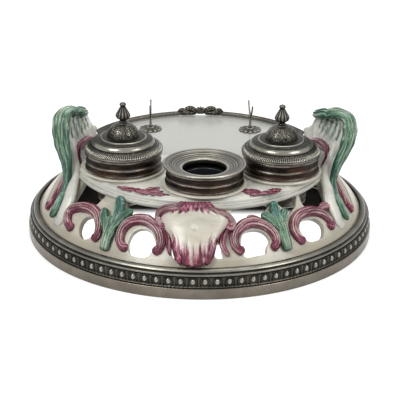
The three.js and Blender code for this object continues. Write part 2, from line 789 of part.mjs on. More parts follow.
// Open dish of the centre well: a stepped funnel that drops into the collar
const dishTop = lidBase + dishRimHeight;
const mouthTop = dishTop - dishDrop;
const dish = turned(
  [
    [skirtRadius - dishWall, mouthTop - dishWall - 0.8],
    [skirtRadius, mouthTop - dishWall - 0.8],
    [skirtRadius, lidBase],
    [dishRimRadius - 0.5, lidBase],
    [dishRimRadius, lidBase + 0.6],
    [dishRimRadius - 0.4, dishTop],
    [skirtRadius + 0.6, dishTop],
    [skirtRadius - 2.2, dishTop - 0.45 * dishDrop],
    [skirtRadius - 5.6, dishTop - 0.5 * dishDrop],
    [dishMouthRadius + 3, mouthTop + 0.7],
    [dishMouthRadius, mouthTop],
    [dishMouthRadius, mouthTop - 2.2 * dishWall],
    [dishMouthRadius + dishWall, mouthTop - 2.2 * dishWall],
    [dishMouthRadius + dishWall, mouthTop - dishWall],
    [skirtRadius - 5.6, mouthTop - 0.4 * dishWall],
    [skirtRadius - dishWall - 1, mouthTop],
  ],
  wellSides,
);
addPiece("centre_dish", moved(dish, centreWell), silver);

// Pen rests: a rosette on the tray, and a wire fork whose stem is held by a nut under the deck
const rosetteBase = trayTop + clearance;
const rosette = turned(
  [
    [forkWire + clearance, rosetteBase],
    [rosetteRadius, rosetteBase],
    [rosetteRadius, rosetteBase + 0.4 * rosetteHeight],
    [0.72 * rosetteRadius, rosetteBase + 0.6 * rosetteHeight],
    [0.3 * rosetteRadius, rosetteBase + rosetteHeight],
    [forkWire + clearance, rosetteBase + rosetteHeight],
  ],
  smallSides,
);
const forkNutTop = trayTop - deckPlate - clearance;
const forkNut = turned(
  [
    [forkWire + clearance, forkNutTop - nutHeight],
    [forkNutRadius, forkNutTop - nutHeight],
    [forkNutRadius, forkNutTop],
    [forkWire + clearance, forkNutTop],
  ],
  6,
);
function prong(reach) {
  const curve = new THREE.CatmullRomCurve3([
    new THREE.Vector3(0, 0, trayTop + forkStem - 3),
    new THREE.Vector3(0, 0.35 * reach, trayTop + forkStem + 2),
    new THREE.Vector3(0, reach, trayTop + forkHeight),
  ]);
  const wire = () => forkWire * 0.92;
  return carried((t) => curve.getPoint(t), () => new THREE.Vector3(1, 0, 0), wire, wire, 4, 6);
}
const fork = join(
  rod(forkWire, forkNutTop - nutHeight - 1.5, trayTop + forkStem, 8),
  prong(forkSpread / 2),
  prong(-forkSpread / 2),
);
for (const [side, place] of Object.entries(rests)) {
  addPiece(`${side}_pen_rosette`, moved(rosette, place), silver);
  addPiece(`${side}_pen_fork`, moved(fork, place), silver);
  addPiece(`${side}_pen_fork_nut`, moved(forkNut, place), silver);
}

// Gallery: two rails round the back of the tray, a cast crest between them, a leaf at each end
const galleryBase = trayTop + clearance;
const rail = turned(
  [
    [galleryRadius - galleryWidth / 2, galleryBase],
    [galleryRadius + 0.3 * galleryWidth, galleryBase],
    [galleryRadius + galleryWidth / 2, galleryBase + 0.5 * galleryHeight],
    [galleryRadius + 0.3 * galleryWidth, galleryBase + galleryHeight],
    [galleryRadius - 0.3 * galleryWidth, galleryBase + galleryHeight],
    [galleryRadius - galleryWidth / 2, galleryBase + 0.5 * galleryHeight],
  ],
  ringSides,
);
const aroundBack = (angle, z, r = galleryRadius) =>
  new THREE.Vector3(r * Math.sin(radians(angle)), r * Math.cos(radians(angle)), z);
const railEnd = galleryRadius * Math.cos(radians(galleryHalfSweep));
const crestEnd = galleryRadius * Math.sin(radians(crestHalfSweep)) + clearance;
addPiece(
  "gallery_left_rail",
  rail.intersect(box(-footRadius, railEnd, 0, -crestEnd, footRadius, 2 * trayTop)),
  silver,
);
addPiece(
  "gallery_right_rail",
  rail.intersect(box(crestEnd, railEnd, 0, footRadius, footRadius, 2 * trayTop)),
  silver,
);
const crestRise = (t) => mix(galleryHeight, crestHeight, Math.sin(Math.PI * t) ** 0.6) / 2;
addPiece(
  "gallery_crest",
  carried(
    (t) => aroundBack(mix(-crestHalfSweep, crestHalfSweep, t), galleryBase + crestRise(t)),
    () => new THREE.Vector3(0, 0, 1),
    () => 0.55 * galleryWidth,
    crestRise,
    12,
    8,
  ).intersect(box(-crestEnd + clearance, 0, galleryBase, crestEnd - clearance, footRadius, 2 * trayTop)),
  silver,
);
for (const side of [-1, 1]) {
  const half = (t) => galleryWidth * (0.62 - 0.42 * t);
  const centre = galleryBase + galleryHeight / 2;
  addPiece(
    side < 0 ? "gallery_left_terminal" : "gallery_right_terminal",
    cut(
      carried(
        (t) =>
          aroundBack(side * mix(galleryHalfSweep, galleryHalfSweep + 9, t), centre, galleryRadius - 3 - 10 * t),
        () => new THREE.Vector3(0, 0, 1),
        half,
        (t) => (galleryHeight / 2) * (1.2 - 0.5 * t),
        6,
        8,
      ),
      box(-footRadius, railEnd - clearance, 0, footRadius, footRadius, 2 * trayTop),
      rod(footRadius, 0, galleryBase, 8),
    ),
    silver,
  );
}

// Handle wing: point(u, v), u from foot to curled tip, v from the front edge to the rear edge
function wingPoint(side, u, v) {
  const foot = v < 0.5
    ? mix(wingFoot.front, wingFoot.middle, Math.sin(Math.PI * v))
    : mix(wingFoot.middle, wingFoot.rear, 2 * v - 1);
  const fade = (1 + Math.cos(Math.PI * v)) / 2;
  const bulge = mix(wingBulge.rear, side < 0 ? wingBulge.left : wingBulge.right, fade);
  const out = mix(foot, wingTip, u ** 2) + bulge * Math.sin(Math.PI * Math.min(u, 1));
  const angle = mix(wingFrontAngle + wingLean * u, wingRearAngle, v);
  const rise = mix(wingRise.rear, wingRise.front, fade ** 0.8) + wingHook * fade;
  const over = Math.max(u - 0.6, 0);
  const drop = 5.5 * wingHook * fade * over ** 2;
  const z = deckUnderside + rise * Math.sin((Math.PI / 2) * Math.min(1.25 * u, 1)) - drop;
  return aroundSide(side, deckRadius + out, angle, z);
}

// Leaf along the wing's front edge, from its pointed foot on the apron to the curled tip
function leafPath(side) {
  const spots = [0.12, 0.28, 0.44, 0.6, 0.8, 0.98].map((u) => wingPoint(side, u, 0.03));
  const foot = [
    onApron(side * (wingFrontAngle - 3), seatTop + footRise, leafLift),
    onApron(side * (wingFrontAngle - 2.5), mix(seatTop, deckUnderside, 0.45), 1.25 * leafLift),
    onApron(side * (wingFrontAngle + 1), mix(seatTop, deckUnderside, 0.8), 1.625 * leafLift),
  ];
  return new THREE.CatmullRomCurve3([...foot, ...spots]);
}
function leafSolid(side, grow) {
  const curve = leafPath(side);
  const half = (t) => (leafWidth / 2) * (0.3 + 0.7 * Math.sin(Math.PI * t ** 1.3) ** 1.2);
  const outward = (t) => {
    const here = curve.getPoint(t);
    const away = new THREE.Vector3(here.x, here.y, 0).normalize();
    return away.add(new THREE.Vector3(0, -0.9, 0.35 + 0.8 * t)).normalize();
  };
  const deep = () => leafThickness / 2;
  return carried((t) => curve.getPoint(t).addScaledVector(outward(t), 3), outward, half, deep, 22, 8, grow);
}
for (const [name, side] of [["left", -1], ["right", 1]]) {
  const wing = plate((u, v) => wingPoint(side, u, v), () => wingThickness, 8, 8);
  const legCurve = new THREE.CatmullRomCurve3([
    onApron(side * legFootAngle, seatTop + footRise, 3.4),
    onApron(side * (legFootAngle + 1), mix(seatTop, deckUnderside, 0.6), 4),
    wingPoint(side, 0.05, 0.07),
    wingPoint(side, 0.3, 0.12),
  ]);
  const legSolid = (grow) =>
    carried(
      (t) => legCurve.getPoint(t),
      (t) => apronNormal(side * legFootAngle, mix(seatTop, deckUnderside, t)),
      () => legWidth / 2,
      () => legDepth / 2,
      10,
      8,
      grow,
    );
  const leafTool = leafSolid(side, clearance);
  addPiece(`${name}_handle`, cut(join(wing, legSolid(0)), coreClear, leafTool, ...scrollTools), cream);
  addPiece(`${name}_handle_leaf`, cut(leafSolid(side, 0), coreClear), green);

  const wingTool = plate((u, v) => wingPoint(side, u, v), () => wingThickness, 8, 8, clearance);
  const voluteCurve = new THREE.CatmullRomCurve3(
    voluteCourse.map(([u, v]) => {
      const face = wingPoint(side, u, v);
      const inwards = new THREE.Vector3(-face.x, -face.y, 0).normalize();
      return face.addScaledVector(inwards, wingThickness / 2 + 0.42 * voluteDepth);
    }),
  );
  const volute = carried(
    (t) => voluteCurve.getPoint(t),
    (t) => voluteCurve.getPoint(t).setZ(0).negate(),
    (t) => (voluteWidth / 2) * (0.6 + 0.4 * Math.sin(Math.PI * t)),
    () => voluteDepth / 2,
    12,
    8,
  );
  addPiece(`${name}_volute`, cut(volute, wingTool, legSolid(clearance), coreClear), puce);

  const petalFoot = seatTop + footRise;
  const petal = carried(
    (t) => onApron(side * mix(...petalSweep, t), mix(petalFoot, deckUnderside - 6, t), 0.55 * petalDepth),
    (t) => apronNormal(side * mix(...petalSweep, t), mix(petalFoot, deckUnderside - 6, t)),
    (t) => (petalWidth / 2) * (0.1 + 0.9 * Math.sin(Math.PI * t)),
    () => petalDepth / 2,
    10,
    8,
  );
  addPiece(`${name}_petal`, cut(petal, coreClear, leafTool, legSolid(clearance), wingTool), cream);
}

export default inkstand;
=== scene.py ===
import math

import bmesh
import bpy
import numpy as np
from mathutils import Matrix


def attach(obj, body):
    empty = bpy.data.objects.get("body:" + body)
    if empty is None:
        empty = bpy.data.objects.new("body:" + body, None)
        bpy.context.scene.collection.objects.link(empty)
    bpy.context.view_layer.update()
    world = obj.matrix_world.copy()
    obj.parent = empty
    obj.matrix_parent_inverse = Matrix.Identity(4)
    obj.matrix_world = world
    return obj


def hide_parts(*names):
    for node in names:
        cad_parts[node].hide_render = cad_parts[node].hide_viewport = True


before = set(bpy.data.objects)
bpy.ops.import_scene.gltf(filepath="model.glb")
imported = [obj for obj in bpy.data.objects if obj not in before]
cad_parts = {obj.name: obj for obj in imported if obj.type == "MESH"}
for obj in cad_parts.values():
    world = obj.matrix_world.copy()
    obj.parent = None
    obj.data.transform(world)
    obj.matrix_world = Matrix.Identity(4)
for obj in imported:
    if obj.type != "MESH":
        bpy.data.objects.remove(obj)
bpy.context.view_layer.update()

# Desk inkstand: glazed earthenware with silver mounts. Front towards -Y, +Z up.
# Sizes are in millimetres and angles in degrees round from the front; meshes are built in metres.
mm = 0.001
maskNames = ("puce", "green", "cool", "line", "stain", "dark", "chased", "along", "across")


def mix(a, b, t):
    return a + (b - a) * t


def ramp(t, low, high):
    # smooth step: 0 below low, 1 above high
    s = np.clip((t - low) / (high - low), 0, 1)
    return s * s * (3 - 2 * s)


def bump(t, centre, width):
    # bell curve: 1 at the centre, fading over the width
    return np.exp(-((t - centre) / width) ** 2)


def unit(v):
    return v / np.maximum(np.linalg.norm(v, axis=-1, keepdims=True), 1e-9)


def around(r, turn, z):
    # points at radius r, turned round the vertical axis from the front, at height z
    return np.stack(np.broadcast_arrays(r * np.sin(turn), -r * np.cos(turn), z), -1)


def gridFaces(rows, cols, wrapRows=False, wrapCols=False):
    # quads between neighbouring rows and columns of a grid of points
    i = np.arange(rows if wrapRows else rows - 1)[:, None]
    j = np.arange(cols if wrapCols else cols - 1)[None, :]
    up, side = (i + 1) % rows, (j + 1) % cols
    quads = np.stack([i * cols + j, i * cols + side, up * cols + side, up * cols + j], -1)
    return quads.reshape(-1, 4)


def smoothCourse(stops, count, stretch=1.0):
    # curve through the stops: each span is the cubic fixed by its ends and their neighbours,
    # then spaced evenly along its length; stretch weighs the first coordinate
    p = np.array(stops, float)
    p[:, 0] *= stretch
    q = np.vstack([2 * p[0] - p[1], p, 2 * p[-1] - p[-2]])
    s = np.linspace(0, len(p) - 1, 600)
    i = np.minimum(s.astype(int), len(p) - 2)
    f = (s - i)[:, None]
    a, b, c, d = q[i], q[i + 1], q[i + 2], q[i + 3]
    square, cube = 2 * a - 5 * b + 4 * c - d, 3 * b - a - 3 * c + d
    curve = 0.5 * (2 * b + (c - a) * f + square * f ** 2 + cube * f ** 3)
    run = np.concatenate([[0], np.cumsum(np.linalg.norm(np.diff(curve, axis=0), axis=1))])
    even = np.linspace(0, run[-1], count)
    curve = np.stack([np.interp(even, run, curve[:, k]) for k in range(curve.shape[1])], 1)
    curve[:, 0] /= stretch
    return curve


def roundEnds(t, head, tail):
    # quarter circles that close a band at both of its ends
    a = np.clip(1 - t / head, 0, 1)
    b = np.clip(1 - (1 - t) / tail, 0, 1)
    return np.sqrt(np.clip(1 - a ** 2, 0, 1) * np.clip(1 - b ** 2, 0, 1))


def softProfile(corners, rounding, step, bend=5):
    # closed profile: each corner becomes a short curve of bend points between its two edges, and the
    # edges left between the curves are split into steps; rows are radius, height, dark, chased
    p = np.array([list(c) + [0.0] * (4 - len(c)) for c in corners], float)
    edge = np.linalg.norm((np.roll(p, -1, 0) - p)[:, :2], axis=1)
    before = np.roll(edge, 1)
    cut = np.minimum(rounding, 0.45 * np.minimum(edge, before)) * (p[:, 0] > 1e-6)
    enter = p + (np.roll(p, 1, 0) - p) * (cut / before)[:, None]
    leave = p + (np.roll(p, -1, 0) - p) * (cut / edge)[:, None]
    t = np.linspace(0, 1, bend)[:, None]
    rows = []
    for k in range(len(p)):
        rows.append((1 - t) ** 2 * enter[k] + 2 * t * (1 - t) * p[k] + t ** 2 * leave[k])
        ahead = enter[(k + 1) % len(p)]
        count = int(np.linalg.norm((ahead - leave[k])[:2]) / step)
        s = (np.arange(1, count + 1) / (count + 1))[:, None]
        rows.append(mix(leave[k], ahead, s))
    return np.concatenate(rows)


def lathe(corners, centre=(0, 0), sides=128, rounding=0.35, step=1.4, wave=None, bend=5):
    # soft profile spun round the vertical axis through the centre; wave(r, z, turn) returns what
    # is added to the radius, the height and the dark mask
    rows = softProfile(corners, rounding, step, bend)
    turn = np.linspace(0, 2 * np.pi, sides, endpoint=False)[None, :]
    r, z, dark, chased = (rows[:, k:k + 1] + 0 * turn for k in range(4))
    if wave:
        outwards, upwards, darker = wave(r, z, turn)
        r, z, dark = r + outwards, z + upwards, dark + darker
    faces = gridFaces(len(rows), sides, True, True)
    return around(r, turn, z) + [*centre, 0], faces, {"dark": dark, "chased": chased}


def band(path, outward, halfWidth, halfDepth, ribs=32, flutes=0, groove=0.0, wander=0.0, paint=None):
    # oval section carried along a path; its front carries lengthwise flutes:
    # depth = halfDepth * sin(turn) + groove * ridge, ridge = (1 + cos(flutes * pi * across + sway)) / 2,
    # where the sway wanders along the length; along and across hold millimetres for the brush strokes
    along = unit(np.gradient(path, axis=0))
    deep = unit(outward - along * np.sum(outward * along, -1, keepdims=True))
    wide = np.cross(along, deep)
    turn = (2 * np.pi * np.arange(ribs) / ribs)[None, :]
    across, lift = np.cos(turn), np.sin(turn)
    front = np.clip(lift, 0, 1) ** 0.5
    t = np.linspace(0, 1, len(path))[:, None]
    sway = wander * np.sin(2 * np.pi * 1.6 * t + 0.4 * path[0].sum()) * (0.6 + 0.6 * across)
    ridge = 0.5 + 0.5 * np.cos(np.pi * flutes * across + sway)
    height = halfDepth[:, None] * (lift + groove * ridge * front)
    points = (
        path[:, None]
        + wide[:, None] * (halfWidth[:, None] * across)[..., None]
        + deep[:, None] * height[..., None]
    )
    run = np.concatenate([[0], np.cumsum(np.linalg.norm(np.diff(path, axis=0), axis=1))])[:, None]
    masks = {"along": run / 200, "across": (halfWidth[:, None] * across + 40) / 80}
    if paint:
        masks.update(paint(t, across, front, ridge))
    shaped = {k: np.broadcast_to(v, height.shape) for k, v in masks.items()}
    return points, gridFaces(len(path), ribs, False, True), shaped


def sheet(surface, thickness, rows, cols, paint=None):
    # two skins either side of surface(u, v), half a thickness(u, v) away along its normal;
    # the thickness is nothing at the rim, where the skins are joined
    u = np.linspace(0, 1, rows)[:, None] + np.zeros((1, cols))
    v = np.linspace(0, 1, cols)[None, :] + np.zeros((rows, 1))
    middle = surface(u, v)
    near = 0.002
    alongU = surface(u + near, v) - surface(u - near, v)
    alongV = surface(u, v + near) - surface(u, v - near)
    normal = unit(np.cross(alongU, alongV))
    half = thickness(u, v)[..., None] / 2
    points = np.stack([middle + normal * half, middle - normal * half])
    quads = gridFaces(rows, cols)
    faces = np.concatenate([quads, quads[:, ::-1] + rows * cols])
    masks = paint(u, v) if paint else {}
    return points, faces, {k: np.stack([m + 0 * u, m + 0 * u]) for k, m in masks.items()}


def thickSheet(front, back, keep, masks):
    # wall between two grids whose columns wrap round: only the quads marked keep stay, and each
    # of their free edges is closed with a quad from the front to the back
    rows, cols = front.shape[:2]
    size = rows * cols
    quads = gridFaces(rows, cols, False, True)[keep.ravel()]
    edges = np.stack([quads, np.roll(quads, -1, 1)], -1).reshape(-1, 2)
    free = edges[~np.isin(edges[:, 0] * size + edges[:, 1], edges[:, 1] * size + edges[:, 0])]
    walls = np.stack([free[:, 1], free[:, 0], free[:, 0] + size, free[:, 1] + size], 1)
    faces = np.concatenate([quads, quads[:, ::-1] + size, walls])
    return np.stack([front, back]), faces, {k: np.stack([m, m]) for k, m in masks.items()}


def insideOutline(x, y, outline):
    # even-odd rule: a point is inside when a ray from it crosses the outline an odd number of times
    inside = np.zeros(x.shape, bool)
    for (x0, y0), (x1, y1) in zip(outline, np.roll(outline, -1, 0)):
        spans = (y0 > y) != (y1 > y)
        inside ^= spans & (x < x0 + (y - y0) * (x1 - x0) / (y1 - y0 + 1e-12))
    return inside


def nearestOnOutline(points, outline):
    # closest point to each given point on the outline's edges
    a, b = outline[None], np.roll(outline, -1, 0)[None]
    p = points[:, None]
    t = np.clip(np.sum((p - a) * (b - a), -1) / np.maximum(np.sum((b - a) ** 2, -1), 1e-9), 0, 1)
    spots = a + (b - a) * t[..., None]
    best = np.argmin(np.sum((spots - p) ** 2, -1), 1)
    return spots[np.arange(len(points)), best]


def pierce(gridX, gridY, keep, outline):
    # drops the quads inside a closed outline and slides the vertices left on its edge onto it;
    # a quad of the seam, whose sides are a whole turn apart, is never dropped
    widest = 50
    centreX = (gridX[:-1] + gridX[1:]) / 2
    centreY = (gridY[:-1] + gridY[1:]) / 2
    centreX = (centreX + np.roll(centreX, -1, 1)) / 2
    centreY = (centreY + np.roll(centreY, -1, 1)) / 2
    gone = insideOutline(centreX, centreY, outline)
    gone &= np.abs(gridX[:-1] - np.roll(gridX[:-1], -1, 1)) < widest
    keep &= ~gone
    touched = np.zeros(gridX.shape, int)
    for dropped in (gone, ~gone):
        near = np.zeros(gridX.shape, bool)
        for rowShift in (slice(None, -1), slice(1, None)):
            near[rowShift] |= dropped | np.roll(dropped, 1, 1)
        touched += near
    rim = touched == 2
    moved = nearestOnOutline(np.stack([gridX[rim], gridY[rim]], 1), outline)
    gridX[rim], gridY[rim] = moved[:, 0], moved[:, 1]


def makePiece(name, parts, material, body="root", nodes=None):
    # one mesh of all the parts: unused points dropped, doubles merged, faces turned outwards; it
    # stands for the CAD node of its own name (leftLid for left_lid) unless nodes says otherwise
    points = np.concatenate([part[0].reshape(-1, 3) for part in parts]) * mm
    starts = np.cumsum([0] + [part[0].size // 3 for part in parts])
    faces = np.concatenate([part[1] + start for part, start in zip(parts, starts)])
    used, faces = np.unique(faces, return_inverse=True)
    mesh = bpy.data.meshes.new(name)
    mesh.from_pydata(points[used].tolist(), [], faces.reshape(-1, 4).tolist())
    for mask in maskNames:
        values = np.concatenate(
            [np.broadcast_to(part[2].get(mask, 0.0), part[0].shape[:-1]).ravel() for part in parts]
        )
        if values.any():
            layer = mesh.attributes.new(mask, "FLOAT", "POINT")
            layer.data.foreach_set("value", np.clip(values[used], 0, 1).astype(np.float32))
    shape = bmesh.new()
    shape.from_mesh(mesh)
    bmesh.ops.remove_doubles(shape, verts=shape.verts, dist=3e-6)
    bmesh.ops.recalc_face_normals(shape, faces=shape.faces)
    shape.to_mesh(mesh)
    shape.free()
    mesh.shade_smooth()
    mesh.materials.append(material)
    piece = bpy.data.objects.new(name, mesh)
    bpy.context.collection.objects.link(piece)
    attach(piece, body)
    if nodes is None:
        nodes = ["".join("_" + c.lower() if c.isupper() else c for c in name)]
    if nodes:
        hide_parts(*nodes)
    return piece


def addNode(tree, kind, inputs=None, **settings):
    node = tree.nodes.new(kind)
    for key, value in settings.items():
        setattr(node, key, value)
    for key, value in (inputs or {}).items():
        if isinstance(value, bpy.types.NodeSocket):
            tree.links.new(value, node.inputs[key])
        else:
            node.inputs[key].default_value = value
    return node


def calc(operation, a, b=0.0, clamp=False):
    # Math node, in the tree of whichever input is a socket
    tree = (a if isinstance(a, bpy.types.NodeSocket) else b).id_data
    node = addNode(tree, "ShaderNodeMath", {0: a, 1: b}, operation=operation, use_clamp=clamp)
    return node.outputs[0]


def plus(a, b, clamp=False):
    return calc("ADD", a, b, clamp)


def minus(a, b, clamp=False):
    return calc("SUBTRACT", a, b, clamp)


def times(a, b, clamp=False):
    return calc("MULTIPLY", a, b, clamp)


def vectorCalc(operation, *inputs):
    node = addNode(inputs[0].id_data, "ShaderNodeVectorMath", dict(enumerate(inputs)), operation=operation)
    return node.outputs[0]


def blendColours(amount, first, second):
    node = addNode(amount.id_data, "ShaderNodeMix", {0: amount, 6: first, 7: second}, data_type="RGBA")
    return node.outputs[2]


def spread(value, low, high):
    # 0 below low, 1 above high
    return addNode(value.id_data, "ShaderNodeMapRange", {0: value, 1: low, 2: high}).outputs[0]


def noise(where, scale, detail=3.0, roughness=0.55):
    inputs = {"Vector": where, "Scale": scale, "Detail": detail, "Roughness": roughness}
    return addNode(where.id_data, "ShaderNodeTexNoise", inputs).outputs[0]


def newGroup(name, colours, amounts):
    tree = bpy.data.node_groups.new(name, "ShaderNodeTree")
    sockets = [(key, "INPUT", "NodeSocketColor") for key in colours]
    sockets += [(key, "INPUT", "NodeSocketFloat") for key in amounts]
    sockets += [("Colour", "OUTPUT", "NodeSocketColor")]
    sockets += [("Roughness", "OUTPUT", "NodeSocketFloat"), ("Height", "OUTPUT", "NodeSocketFloat")]
    for key, way, kind in sockets:
        tree.interface.new_socket(key, in_out=way, socket_type=kind)
    return tree, addNode(tree, "NodeGroupInput").outputs


def closeGroup(tree, **values):
    # joins each value to the group's output of its name
    out = addNode(tree, "NodeGroupOutput").inputs
    for key, value in values.items():
        tree.links.new(value, out[key])
    return tree


# each amount of the glaze and the painted mask that feeds it
glazeMasks = {
    "Puce Amount": "puce", "Green Amount": "green", "Cool Amount": "cool", "Line Amount": "line",
    "Shade And Stain Amount": "stain", "Along": "along", "Across": "across",
}
# scales of the glaze's patterns; along and across draw the brush strokes out over a piece
glazeGrain = dict(
    clouds=34, flatten=2.8, brush=210, fine=620, strokes=9.0, along=11.0, across=50.0, pits=170.0, pitSize=0.075,
)
glazeTones = dict(
    cloudShare=0.8, middle=0.56, unevenness=4.4, outline=(0.05, 0.034, 0.024, 1), speck=(0.08, 0.06, 0.045, 1),
)


def glazeGroup():
    # tin glaze with brushed enamels: broad clouds of tone, strokes in the enamels, painted lines, pin holes
    colours = ["Glaze", "Shade And Stain"] + [depth + key for key in ("Puce", "Green", "Teal") for depth in ("", "Deep ")]
    tree, given = newGroup("brushedGlaze", colours, glazeMasks)
    grain, tones = glazeGrain, glazeTones
    where = addNode(tree, "ShaderNodeTexCoord").outputs["Object"]
    clouds = noise(vectorCalc("MULTIPLY", where, (1.0, 1.0, grain["flatten"])), grain["clouds"], 4)
    brush = noise(where, grain["brush"], 5, 0.6)
    fine = noise(where, grain["fine"], 3, 0.6)
    # the shade-and-stain mask and the broad clouds darken the glaze towards the Shade And Stain colour: the
    # glaze's own staining, and painted shade where a piece asks for it
    shadedAndStained = calc("MAXIMUM", given["Shade And Stain Amount"], times(spread(clouds, 0.42, 0.72), tones["cloudShare"]))
    base = blendColours(shadedAndStained, given["Glaze"], given["Shade And Stain"])
    inputs = {0: times(given["Along"], grain["along"]), 1: times(given["Across"], grain["across"])}
    course = addNode(tree, "ShaderNodeCombineXYZ", inputs).outputs[0]
    strokes = noise(vectorCalc("MULTIPLY_ADD", where, (grain["strokes"],) * 3, course), 1.0, 2.0, 0.6)
    streak = plus(strokes, times(fine, 0.25))
    uneven = times(minus(streak, tones["middle"]), tones["unevenness"])

    def cover(key):
        return plus(given[key], times(uneven, given[key]), True)

    def enamel(key, low, high):
        return blendColours(spread(streak, low, high), given[key], given["Deep " + key])

    greens = blendColours(given["Cool Amount"], enamel("Green", 0.55, 0.73), enamel("Teal", 0.54, 0.72))
    colour = blendColours(cover("Puce Amount"), base, enamel("Puce", 0.52, 0.65))
    colour = blendColours(cover("Green Amount"), colour, greens)
    # a painted line takes the deep tone of the enamel that it lies on
    lineTone = blendColours(given["Puce Amount"], tones["outline"], given["Deep Puce"])
    lineTone = blendColours(given["Green Amount"], lineTone, given["Deep Green"])
    colour = blendColours(times(given["Line Amount"], spread(brush, 0.25, 0.5), True), colour, lineTone)
    pits = addNode(tree, "ShaderNodeTexVoronoi", {"Vector": where, "Scale": grain["pits"]}).outputs["Distance"]
    specks = times(calc("LESS_THAN", pits, grain["pitSize"]), spread(clouds, 0.5, 0.6), True)
    colour = blendColours(times(specks, 0.6), colour, tones["speck"])
    relief = plus(times(clouds, 0.7), times(brush, 0.14))
    return closeGroup(
        tree, Colour=colour, Roughness=plus(0.15, times(brush, 0.18)), Height=minus(relief, times(specks, 0.2))
    )


silverGrain = dict(clouds=48, fine=700, cells=640.0, patches=75, tarnishCurve=0.42)


def silverGroup():
    # worn silver: bright on crests, tarnished in hollows, chased ground where the mask asks for it
    amounts = ("Dark Amount", "Chased Amount", "Oxide Amount")
    tree, given = newGroup("wornSilver", ("Bright", "Tarnish", "Oxide"), amounts)
    grain = silverGrain
    where = addNode(tree, "ShaderNodeTexCoord").outputs["Object"]
    clouds = noise(where, grain["clouds"], 5, 0.6)
    fine = noise(where, grain["fine"], 4, 0.65)
    inputs = {"Vector": where, "Scale": grain["cells"]}
    cells = addNode(tree, "ShaderNodeTexVoronoi", inputs, feature="DISTANCE_TO_EDGE").outputs["Distance"]
    dents = spread(cells, 0.03, 0.3)
    chasedDark = times(given["Chased Amount"], minus(0.8, times(dents, 0.8)), True)
    tarnish = plus(given["Dark Amount"], chasedDark)
    tarnish = plus(tarnish, times(minus(clouds, 0.5), 0.6))
    tarnish = plus(tarnish, times(minus(fine, 0.5), 0.35), True)
    tarnish = calc("POWER", plus(tarnish, 0.05, True), grain["tarnishCurve"])
    colour = blendColours(tarnish, given["Bright"], given["Tarnish"])
    patches = times(given["Oxide Amount"], spread(noise(where, grain["patches"], 3), 0.4, 0.62), True)
    colour = blendColours(patches, colour, given["Oxide"])
    relief = plus(times(times(dents, given["Chased Amount"]), 0.7), times(fine, 0.12))
    return closeGroup(tree, Colour=colour, Roughness=plus(0.1, times(tarnish, 0.34)), Height=relief)


def finishMaterial(name, group, colours, amounts, metallic, bumpDepth):
    # an amount is the name of a painted mask or a number
    material = bpy.data.materials.new(name)
    material.use_nodes = True
    tree = material.node_tree
    shader = tree.nodes["Principled BSDF"]
    effect = addNode(tree, "ShaderNodeGroup", node_tree=group)
    for key, colour in colours.items():
        effect.inputs[key].default_value = (*colour, 1)
    for key, amount in amounts.items():
        if isinstance(amount, str):
            mask = addNode(tree, "ShaderNodeAttribute", attribute_name=amount)
            tree.links.new(mask.outputs["Fac"], effect.inputs[key])
        else:
            effect.inputs[key].default_value = amount
    tree.links.new(effect.outputs["Colour"], shader.inputs["Base Color"])
    tree.links.new(effect.outputs["Roughness"], shader.inputs["Roughness"])
    relief = {"Height": effect.outputs["Height"], "Strength": 0.5, "Distance": bumpDepth}
    tree.links.new(addNode(tree, "ShaderNodeBump", relief).outputs[0], shader.inputs["Normal"])
    shader.inputs["Metallic"].default_value = metallic
    return material


glazeTree, silverTree = glazeGroup(), silverGroup()
enamels = {
    "Puce": (0.38, 0.06, 0.14), "Deep Puce": (0.09, 0.004, 0.022),
    "Green": (0.14, 0.27, 0.16), "Deep Green": (0.015, 0.06, 0.034),
    "Teal": (0.085, 0.25, 0.2), "Deep Teal": (0.008, 0.06, 0.052),
}


def glazeMaterial(name, glaze, stain, bumpDepth=0.0004, masks=glazeMasks):
    return finishMaterial(name, glazeTree, {"Glaze": glaze, "Shade And Stain": stain, **enamels}, masks, 0.0, bumpDepth)


def silverMaterial(name, bright, tarnish, oxideAmount, bumpDepth):
    colours = {"Bright": bright, "Tarnish": tarnish, "Oxide": (0.05, 0.03, 0.02)}
    amounts = {"Dark Amount": "dark", "Chased Amount": "chased", "Oxide Amount": oxideAmount}
    return finishMaterial(name, silverTree, colours, amounts, 1.0, bumpDepth)


creamGlaze = glazeMaterial("creamGlaze", (0.58, 0.55, 0.465), (0.34, 0.31, 0.23))
deckGlaze = glazeMaterial("deckGlaze", (0.63, 0.62, 0.55), (0.4, 0.4, 0.37), 0.0003)
leafGlaze = glazeMaterial("leafGlaze", (0.44, 0.52, 0.38), (0.3, 0.38, 0.26))
inkGlass = glazeMaterial("inkGlass", (0.012, 0.013, 0.015), (0.02, 0.022, 0.026), 0.0001, {})
wornSilver = silverMaterial("wornSilver", (0.44, 0.425, 0.365), (0.016, 0.015, 0.012), 0.12, 0.00025)
footSilver = silverMaterial("footSilver", (0.32, 0.285, 0.238), (0.07, 0.06, 0.048), 0.12, 0.0002)
collarSilver = silverMaterial("collarSilver", (0.37, 0.33, 0.29), (0.009, 0.007, 0.006), 0.8, 0.0002)
print("materials ready")


# silver foot: a plain band on the ground, a strip of egg and dart, and a stepped moulding
footRing = dict(
    radius=160.0, sides=288, eggs=96, eggBase=9.8, eggTop=19.0, eggDepth=1.7, eggWide=2.1, eggTall=2.9,
)


def footProfile(corners):
    # corners given by how far they lie inside the foot's radius
    return [(footRing["radius"] - inset, *rest) for inset, *rest in corners]


